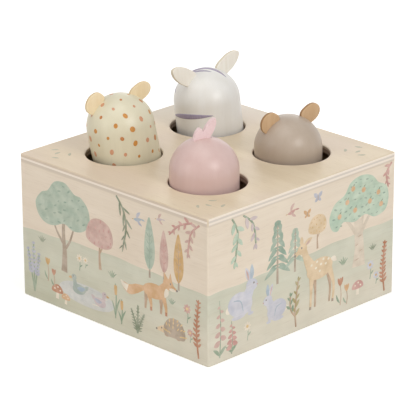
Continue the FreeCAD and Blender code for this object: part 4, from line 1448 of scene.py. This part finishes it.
for finished in (back_side(), left_side()):
    print(finished.name, len(finished.data.polygons), "faces")

# %% [markdown]
# ## Loose leaves on the top
#
# The top board stays almost plain. Each corner gets a few faint little leaves, as if they had blown there.

# %% Top print
def loose_leaves(sheet, turn):
    """Four small leaves in a corner, drawn for the first corner and turned for the others."""
    turned = Matrix.Rotation(math.radians(turn), 2)
    for root, tip in (((8, 14.6), (11, 18)), ((14.6, 11.6), (14.3, 16)), ((16.8, 7.2), (21, 8.8)),
                      ((22, 15.4), (19, 18.8))):
        sheet.stamp(leaf(turned @ Vector(root), turned @ Vector(tip), 1.7, 0.3), "faint green")


sheet = Sheet("top")
for turn, u, v in ((0, 0, 0), (90, SIDE, 0), (180, SIDE, SIDE), (270, 0, SIDE)):
    sheet.draw(u, v, loose_leaves, turn=turn)
top_print = sheet.finish()
print("top:", len(top_print.data.polygons), "faces")

# %% [markdown]
# ## Wound springs
#
# A compression spring is wire wound on a mandrel. The first and last turns lie close together and are
# ground flat, so that it stands straight, and the turns between them are open. The tree starts from a
# Spiral and only sets how high each point lies: the height grows by one wire's thickness a turn in the
# closed turns, and by whatever is left in the open ones. The wire is a circle swept along it, and what
# would pass its two end planes is flattened, as the grinding wheel does.

# %% Spring tree
def wound_spring_tree():
    tree, given, result = new_recipe("wound spring", {
        "Length": "Float", "Coil Radius": "Float", "Wire": "Float", "Turns": "Float",
        "Closed Turns": "Float", "Finish": "Material"})

    spiral = made_by(tree, "CurveSpiral", {
        "Resolution": 28, "Rotations": given["Turns"], "Start Radius": given["Coil Radius"],
        "End Radius": given["Coil Radius"], "Height": 0.0})
    along = add(tree, "GeometryNodeSplineParameter").outputs["Factor"]
    turn = reckon(tree, "MULTIPLY", along, given["Turns"])
    start = reckon(tree, "MULTIPLY", given["Wire"], 0.2)
    both_ends = reckon(tree, "MULTIPLY", given["Closed Turns"], 2.0)
    open_turns = reckon(tree, "SUBTRACT", given["Turns"], both_ends)
    closed_height = reckon(tree, "MULTIPLY", given["Wire"], given["Turns"])
    between = reckon(tree, "SUBTRACT", given["Length"], reckon(tree, "MULTIPLY", start, 2.0))
    spare = reckon(tree, "SUBTRACT", between, closed_height)
    past_closed = reckon(tree, "SUBTRACT", turn, given["Closed Turns"])
    open_turn = reckon(tree, "MINIMUM", reckon(tree, "MAXIMUM", past_closed, 0.0), open_turns)
    stretch = reckon(tree, "MULTIPLY", spare, reckon(tree, "DIVIDE", open_turn, open_turns))
    height = reckon(tree, "ADD", reckon(tree, "MULTIPLY_ADD", turn, given["Wire"], start), stretch)
    lift = vector_of(tree, 0.0, 0.0, height)
    path = made_by(tree, "SetPosition", {"Geometry": spiral, "Offset": lift})
    section = made_by(tree, "CurvePrimitiveCircle",
                      {"Resolution": 10, "Radius": reckon(tree, "MULTIPLY", given["Wire"], 0.5)})
    wire = made_by(tree, "CurveToMesh", {"Curve": path, "Profile Curve": section, "Fill Caps": True})
    spot = parts_of(tree, made_by(tree, "InputPosition"))
    ground = reckon(tree, "MINIMUM", reckon(tree, "MAXIMUM", spot[2], 0.0), given["Length"])
    ground = vector_of(tree, spot[0], spot[1], ground)
    wire = made_by(tree, "SetPosition", {"Geometry": wire, "Position": ground})
    wire = made_by(tree, "RealizeInstances", {0: wire})
    wire = made_by(tree, "SetShadeSmooth", {"Geometry": wire})
    wire = made_by(tree, "SetMaterial", {"Geometry": wire, "Material": given["Finish"]})
    tree.links.new(wire, result.inputs[0])
    return tree


# %% [markdown]
# ## The four springs
#
# Each spring takes its length and its place from its CAD part.

# %% Springs
COIL_RADIUS = 9.8
WIRE = 1.4
TURNS = 10.0
CLOSED_TURNS = 1.2
spring_tree = wound_spring_tree()
for name in ANIMALS:
    low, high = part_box(name + "_spring")
    length = (high.z - low.z) / MM
    source = mesh_object("spring source", [(0, 0, 0)])
    mesh = grow(spring_tree, source, length=length, coil_radius=COIL_RADIUS, wire=WIRE, turns=TURNS,
                closed_turns=CLOSED_TURNS, finish=spring_wire)
    foot = ((low.x + high.x) / 2, (low.y + high.y) / 2, low.z)
    mesh.transform(Matrix.Translation(foot) @ Matrix.Scale(MM, 4))
    spring = piece(name + "_wound_spring", mesh, "box", "spring_steel", name + "_spring")
    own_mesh(spring)
    print(name, "spring", round(length, 2), "mm long,", len(mesh.polygons), "faces")

# %% [markdown]
# ## Paint on a round head
#
# Spots and stripes are brushed on the finished head. Drawn as a colour pattern they would blur when the toy
# is looked at closely, so each is a thin island of paint, a few hundredths of a millimetre thick, that
# follows the head's curve. One group of nodes lays any flat shape on the head: it finds the head's centre
# at the shape's height, on the axis below the shoulder and at the dome's middle above it, and moves each
# point out until it is on the surface. The paint's upper skin goes a little further out and its lower skin
# a little less.

# %% Laying paint on a head
PAINT_PROUD = 0.05
PAINT_DEPTH = 0.25


def lay_on_head(tree, geometry, shoulder):
    """Drapes geometry on a head. The attribute lift tells the upper skin from the lower."""
    spot = made_by(tree, "InputPosition")
    parts = parts_of(tree, spot)
    level = reckon(tree, "MINIMUM", parts[2], shoulder)
    centre = vector_of(tree, 0.0, 0.0, level)
    radii = (PEG_RADIUS, PEG_RADIUS, DOME)
    ray = reckon_vector(tree, "SUBTRACT", spot, centre)
    ray = reckon_vector(tree, "DIVIDE", ray, radii)
    outward = reckon_vector(tree, "NORMALIZE", ray)
    skin = reckon_vector(tree, "MULTIPLY_ADD", outward, radii, centre)
    lift = attribute(tree, "lift", "FLOAT")
    step = reckon_vector(tree, "SCALE", outward, lift)
    place = reckon_vector(tree, "ADD", skin, step)
    return made_by(tree, "SetPosition", {"Geometry": geometry, "Position": place})


def keep_lift(tree, geometry, axis=2):
    """Stores on a flat shape how far each of its two skins will lie from the head."""
    height = parts_of(tree, made_by(tree, "InputPosition"))[axis]
    above = reckon(tree, "GREATER_THAN", height, 0.0)
    lift = blend(tree, above, -PAINT_DEPTH, PAINT_PROUD)
    return made_by(tree, "StoreNamedAttribute", {"Geometry": geometry, "Name": "lift", "Value": lift},
                   data_type="FLOAT", domain="POINT")


def paint_finish(name, colour, shade):
    """Brushed paint under the same satin lacquer: nearly even, with faint streaks of the brush."""
    material, tree, shader = new_finish(name, Roughness=0.4, Specular_IOR_Level=0.5)
    place = place_in_mm(tree)
    streaks = add(tree, "ShaderNodeMapping", {"Vector": place, "Scale": (1.2, 1.2, 0.4)}).outputs[0]
    streaks = noise_at(tree, streaks, 1.0, 3.0)
    streaks = spread(tree, streaks, 0.35, 0.65)
    tree.links.new(mix(tree, streaks, colour, shade), shader.inputs["Base Color"])
    return material


# %% [markdown]
# ## The leopard's spots
#
# The spots are dabbed on with a small round brush: oval, one to three millimetres, nowhere touching, in
# three mixed oranges. A Poisson distribution gives just that: random places with a least distance between
# them. Each place gets a small disc, turned upright with a little swing, in a random size and one of the
# three colours. The seed is fixed, so every run paints the same leopard.

# %% Spot tree
def painted_spots_tree():
    tree, given, result = new_recipe("painted spots", {
        "Spacing": "Float", "Largest Length": "Float", "Largest Width": "Float", "Shoulder": "Float",
        "Seed": "Int", "First Paint": "Material", "Second Paint": "Material",
        "Third Paint": "Material"})
    scatter = scattered(tree, given, 3.0)
    dab = made_by(tree, "MeshCylinder", {"Vertices": 16, "Fill Segments": 2, "Radius": 0.5, "Depth": 1.0},
                  fill_type="TRIANGLE_FAN")
    dab = keep_lift(tree, dab)
    facing = add(tree, "FunctionNodeAlignRotationToVector", {"Vector": scatter["Normal"]},
                 axis="Z").outputs[0]
    upright = add(tree, "FunctionNodeAlignRotationToVector", {"Rotation": facing, "Vector": (0, 0, 1)},
                  axis="Y", pivot_axis="Z").outputs[0]
    swing = random_number(tree, -0.6, 0.6, given["Seed"])
    swing = add(tree, "FunctionNodeAxisAngleToRotation", {0: (0, 0, 1), 1: swing}).outputs[0]
    turned = add(tree, "FunctionNodeRotateRotation", {"Rotation": upright, "Rotate By": swing},
                 rotation_space="LOCAL").outputs[0]
    size = random_number(tree, 0.52, 1.04, 7)
    plump = random_number(tree, 0.8, 1.15, 11)
    width = reckon(tree, "MULTIPLY", size, given["Largest Width"])
    width = reckon(tree, "MULTIPLY", width, plump)
    length = reckon(tree, "MULTIPLY", size, given["Largest Length"])
    scale = vector_of(tree, width, length, 1.0)
    colour = add(tree, "FunctionNodeRandomValue", {4: 0, 5: 2, "Seed": 5}, data_type="INT").outputs[2]
    spots = made_by(tree, "StoreNamedAttribute",
                    {"Geometry": scatter["Points"], "Name": "paint", "Value": colour}, data_type="INT")
    spots = made_by(tree, "InstanceOnPoints",
                    {"Points": spots, "Instance": dab, "Rotation": turned, "Scale": scale})
    spots = made_by(tree, "RealizeInstances", {0: spots})
    spots = lay_on_head(tree, spots, given["Shoulder"])
    paint = attribute(tree, "paint", "INT")
    for number, label in enumerate(("First Paint", "Second Paint", "Third Paint")):
        chosen = add(tree, "FunctionNodeCompare", {2: paint, 3: number}, data_type="INT",
                     operation="EQUAL").outputs[0]
        spots = made_by(tree, "SetMaterial",
                        {"Geometry": spots, "Selection": chosen, "Material": given[label]})
    tree.links.new(spots, result.inputs[0])
    return tree


# %% [markdown]
# ## Painting the spots
#
# The places are scattered over a plain copy of the head's round surface, which is used up by the tree. The
# finished spots are then stood in the leopard's place and ride on its body.

# %% Spots
def head_skin(name, animal, lowest):
    """The head's own round surface from a lowest height up, as a mesh in its upright millimetres."""
    around = 48
    shoulder = animal["rise"] - DOME
    rings = [(PEG_RADIUS, lowest), (PEG_RADIUS, shoulder)]
    for step in range(1, 12):
        angle = math.pi / 2 * step / 12
        rings.append((PEG_RADIUS * math.cos(angle), shoulder + DOME * math.sin(angle)))
    turns = [math.tau * k / around for k in range(around)]
    points = [(r * math.cos(t), r * math.sin(t), z) for r, z in rings for t in turns]
    faces = []
    for ring in range(len(rings) - 1):
        for k in range(around):
            here, there = ring * around + k, ring * around + (k + 1) % around
            faces.append((here, there, there + around, here + around))
    tip = len(points)
    points.append((0, 0, animal["rise"]))
    last = (len(rings) - 1) * around
    faces += [(last + k, last + (k + 1) % around, tip) for k in range(around)]
    return mesh_object(name, points, faces=faces)


SPOT_PAINTS = {
    "first_paint": paint_finish("burnt orange paint", "#C28248", "#B5743F"),
    "second_paint": paint_finish("ochre paint", "#C98D42", "#BC803A"),
    "third_paint": paint_finish("salmon paint", "#CF9A78", "#C58D6C"),
}
SPOTS_REACH_DOWN = 54.0
leopard = ANIMALS["leopard"]
source = head_skin("spot source", leopard, leopard["rise"] - SPOTS_REACH_DOWN)
mesh = grow(painted_spots_tree(), source, spacing=7.2, largest_length=3.2, largest_width=2.6,
            shoulder=leopard["rise"] - DOME, seed=3, **SPOT_PAINTS)
mesh.transform(leopard["matrix"])
piece("leopard_spots", mesh, "leopard_animal", "leopard_paint")
print("leopard spots:", len(mesh.polygons), "faces")

# %% [markdown]
# ## The zebra's stripes
#
# A brushed stripe is a lens: the brush is set down lightly, pressed and lifted again. The tree sweeps a
# flat strip along a line and lets its width follow that lens, then lays it on the head. Most stripes are
# level and only need an angle to start and end at and a height; two cross the crown of the head and get a
# few points of their own.

# %% Stripe tree
def brushed_stripe_tree():
    tree, given, result = new_recipe("brushed stripe",
                                     {"Width": "Float", "Shoulder": "Float", "Paint": "Material"})
    line = made_by(tree, "MeshToCurve", {"Mesh": given["Geometry"]})
    along = add(tree, "GeometryNodeSplineParameter").outputs["Factor"]
    lens = reckon(tree, "MULTIPLY", along, math.pi)
    lens = reckon(tree, "SINE", lens)
    lens = reckon(tree, "POWER", lens, 0.8)
    lens = reckon(tree, "MULTIPLY_ADD", lens, given["Width"], 0.02)
    spot = made_by(tree, "InputPosition")
    heading = made_by(tree, "InputTangent")
    sideways = reckon_vector(tree, "CROSS_PRODUCT", spot, heading)
    sideways = reckon_vector(tree, "NORMALIZE", sideways)
    sideways = reckon_vector(tree, "SCALE", sideways, lens)
    for label, value in (("middle", spot), ("sideways", sideways)):
        line = made_by(tree, "StoreNamedAttribute", {"Geometry": line, "Name": label, "Value": value},
                       data_type="FLOAT_VECTOR")
    section = made_by(tree, "CurvePrimitiveQuadrilateral", {"Width": 1.0, "Height": 1.0})
    section = made_by(tree, "SubdivideCurve", {"Curve": section, "Cuts": 3})
    section = keep_lift(tree, section, 1)
    across = parts_of(tree, spot)[0]
    section = made_by(tree, "StoreNamedAttribute",
                      {"Geometry": section, "Name": "across", "Value": across}, data_type="FLOAT")
    strip = made_by(tree, "CurveToMesh", {"Curve": line, "Profile Curve": section, "Fill Caps": True})
    middle = attribute(tree, "middle", "FLOAT_VECTOR")
    sideways = attribute(tree, "sideways", "FLOAT_VECTOR")
    across = attribute(tree, "across", "FLOAT")
    off = reckon_vector(tree, "SCALE", sideways, across)
    place = reckon_vector(tree, "ADD", middle, off)
    strip = made_by(tree, "SetPosition", {"Geometry": strip, "Position": place})
    strip = lay_on_head(tree, strip, given["Shoulder"])
    strip = made_by(tree, "RealizeInstances", {0: strip})
    strip = made_by(tree, "SetMaterial", {"Geometry": strip, "Material": given["Paint"]})
    tree.links.new(strip, result.inputs[0])
    return tree


# %% [markdown]
# ## Painting the stripes
#
# Each line of the list is a width and a path. The strips come out of the tree with double points where they
# were closed, so these are joined, and then all faces are turned outward.

# %% Stripes
def level_stripe(middle, reach, *heights):
    """A stripe round a head: middle angle from the nose, reach to each side, and heights."""
    line = []
    for step, height in enumerate(heights):
        angle = math.radians(middle + reach * (2 * step / (len(heights) - 1) - 1))
        line.append((PEG_RADIUS * math.sin(angle), -PEG_RADIUS * math.cos(angle), height))
    return line


zebra = ANIMALS["zebra"]
stripe_paint = paint_finish("grey-violet paint", "#9E94A8", "#9389A0")
JOIN_WITHIN = 0.005
STRIPES = [
    (3.3, level_stripe(-81, 46, 8.8, 10.2, 10.9, 11.2, 11.2)),
    (2.8, level_stripe(129, 62, 17.8, 17.2, 17.0, 17.4, 18.2)),
    (2.8, level_stripe(104, 48, 6.2, 6.6, 6.4)),
    (2.6, level_stripe(179, 38, 2.8, 3.2, 3.0)),
    (2.6, level_stripe(-76, 60, -5.4, -5.0, -4.8)),
    (2.6, level_stripe(89, 62, -9.0, -8.8, -9.2)),
    (2.4, level_stripe(-111, 60, -16.2, -16.0, -16.2)),
    (2.2, [(-14.3, 8.7, 21.5), (-10.1, 14.1, 24.0), (-2.5, 15.8, 24.0), (6.2, 14.8, 22.5)]),
    (3.3, [(-7.0, 9.7, 27.5), (-3.8, 5.5, 31.2), (-0.7, 2.6, 32.2), (2.4, -0.9, 32.2),
           (4.2, -6.0, 30.9), (5.5, -11.3, 27.6)]),
    (1.7, [(-5.7, 6.0, 30.0), (-4.5, 2.4, 31.4), (-2.8, -0.6, 32.2), (0.3, -5.9, 31.5)]),
]
stripe_tree = brushed_stripe_tree()
paint = bmesh.new()
for width, line in STRIPES:
    points = along_path(line, 8)
    source = mesh_object("stripe source", points, [(k, k + 1) for k in range(len(points) - 1)])
    paint.from_mesh(grow(stripe_tree, source, width=width, shoulder=zebra["rise"] - DOME,
                         paint=stripe_paint))
mesh = bpy.data.meshes.new("stripes")
bmesh.ops.remove_doubles(paint, verts=paint.verts, dist=JOIN_WITHIN)
bmesh.ops.recalc_face_normals(paint, faces=paint.faces)
paint.to_mesh(mesh)
paint.free()
mesh.materials.append(stripe_paint)
mesh.transform(zebra["matrix"])
piece("zebra_stripes", mesh, "zebra_animal", "zebra_paint")
print("zebra stripes:", len(STRIPES), "with", len(mesh.polygons), "faces")

# %% [markdown]
# ## Ears with a blunt root
#
# The CAD model has each ear as a plain oval plate. A sawn ear is a little blunter where it stands in its
# slot, and the zebra's end in a soft point. An oval is a circle stretched along two axes, so each point of
# the plate is first measured along those axes, from -1 at the root to 1 at the tip. Then the circle becomes
# a superellipse: a power above 2 makes it squarer, and one below 2 more pointed. Root and tip each have
# their own power, and a tip may reach a little further out than the CAD model's.

# %% Ear shapes
EAR_SHAPES = {
    ("leopard", "left"): dict(root=3.0, tip=2.0, reach=1.03),
    ("leopard", "right"): dict(root=3.2, tip=2.1, reach=1.03),
    ("zebra", "left"): dict(root=4.0, tip=1.8, reach=1.08),
    ("zebra", "right"): dict(root=4.0, tip=1.75, reach=1.05),
    ("bear", "left"): dict(root=3.0, tip=2.0, reach=1.18),
    ("bear", "right"): dict(root=3.2, tip=2.1, reach=1.02),
}
SAME_POINT = 0.001
MOST_WIDENING = 2.0
SHARP_EDGE = math.radians(30)


def merged_copy(node):
    """A CAD part's loose triangles joined into one skin, as a new mesh."""
    skin = bmesh.new()
    skin.from_mesh(nodes[node].data)
    bmesh.ops.remove_doubles(skin, verts=skin.verts, dist=SAME_POINT * MM)
    mesh = bpy.data.meshes.new(node + " copy")
    skin.to_mesh(mesh)
    skin.free()
    return mesh


def widening(share, power):
    """How much wider a superellipse is than a circle, at a share of the way from its middle to its end."""
    share = min(abs(share), 0.999)
    return min((1 - share ** power) ** (1 / power) / math.sqrt(1 - share ** 2), MOST_WIDENING)


def sawn_ear(node, animal, shape):
    """The CAD ear with its own root and tip, reshaped upright, where it lies in the xz plane."""
    mesh = merged_copy(node)
    mesh.transform(animal["matrix"].inverted())
    spots = [vertex.co.copy() for vertex in mesh.vertices]
    low, high = (Vector([pick(spot[axis] for spot in spots) for axis in range(3)]) for pick in (min, max))
    middle = (low + high) / 2
    flat = [Vector((spot.x - middle.x, 0, spot.z - middle.z)) for spot in spots]
    long_way = max(flat, key=lambda way: way.length).normalized()
    short_way = Vector((-long_way.z, 0, long_way.x))
    from_dome = middle - Vector((0, 0, animal["rise"] - DOME))
    outward = max((long_way, -long_way, short_way, -short_way), key=lambda way: way.dot(from_dome))
    crosswise = Vector((-outward.z, 0, outward.x))
    reach = max(way.dot(outward) for way in flat)
    for vertex, spot, way in zip(mesh.vertices, spots, flat):
        share = way.dot(outward) / reach
        power, stretch = (shape["tip"], shape["reach"]) if share > 0 else (shape["root"], 1.0)
        out = outward * share * reach * stretch
        across = crosswise * way.dot(crosswise) * widening(share, power)
        vertex.co = Vector((middle.x, spot.y, middle.z)) + out + across
    mesh.transform(animal["matrix"])
    return mesh


for (name, side), shape in EAR_SHAPES.items():
    mesh = sawn_ear(name + "_ear_" + side, ANIMALS[name], shape)
    mesh.materials.clear()
    mesh.materials.append(EAR_FINISH[name])
    mesh.shade_smooth()
    mesh.set_sharp_from_angle(angle=SHARP_EDGE)
    piece(name + "_sawn_ear_" + side, mesh, name + "_animal", name + "_ears", name + "_ear_" + side)
    print(side, "ear of the", name + ":", len(mesh.polygons), "faces")

# %% [markdown]
# ## The felt crest
#
# The flamingo's crest is cut from a sheet of wool felt. Felt has no hard edges: its outline is soft and its
# face slightly uneven. A copy of the CAD crest is voxel remeshed, which gives it an even skin, and then
# smoothed, which rounds its edges. A little noise pushes the skin in and out, as matted wool does. The
# finish is wool: matt, with a pale sheen of loose fibres at grazing angles.

# %% Crest
SKIN_STEP = 0.24
WAVES = 24
WAVE_HEIGHT = 0.035
felt, tree, shader = new_finish("wool felt", Roughness=0.95, Specular_IOR_Level=0.15, Sheen_Weight=0.5,
                                Sheen_Roughness=0.5)
place = place_in_mm(tree)
fibres = noise_at(tree, place, 2.4, 5.0, 1.5)
fibres = spread(tree, fibres, 0.35, 0.65)
patches = noise_at(tree, place, 0.4, 1.0)
wool = mix(tree, fibres, "#FBE3E3", "#F3D4D6")
tree.links.new(mix(tree, patches, wool, "#F8DCDD"), shader.inputs["Base Color"])
dent(tree, shader, fibres, 0.12)

source = bpy.data.objects.new("crest copy", merged_copy("flamingo_crest"))
bpy.context.scene.collection.objects.link(source)
remesh = source.modifiers.new("even skin", "REMESH")
remesh.mode = "VOXEL"
remesh.voxel_size = SKIN_STEP * MM
soften = source.modifiers.new("soft edges", "SMOOTH")
soften.factor = 0.5
soften.iterations = 6
bpy.context.view_layer.update()
mesh = bpy.data.meshes.new_from_object(source.evaluated_get(bpy.context.evaluated_depsgraph_get()))
bpy.data.objects.remove(source)
chance = random.Random(4)
bumps = []
for _ in range(WAVES):
    rate = chance.uniform(2, 5)
    way = Vector([chance.gauss(0, 1) for _ in range(3)]).normalized()
    bumps.append((rate, way, chance.uniform(0, math.tau)))
moved = []
for vertex in mesh.vertices:
    wave = sum(math.sin(vertex.co.dot(way) / MM * rate + phase) for rate, way, phase in bumps)
    moved.append(vertex.co + vertex.normal * wave / math.sqrt(WAVES) * WAVE_HEIGHT * MM)
for vertex, spot in zip(mesh.vertices, moved):
    vertex.co = spot
mesh.materials.clear()
mesh.materials.append(felt)
mesh.shade_smooth()
piece("felt_crest", mesh, "flamingo_animal", "crest_felt", "flamingo_crest")
print("felt crest:", len(mesh.polygons), "faces")
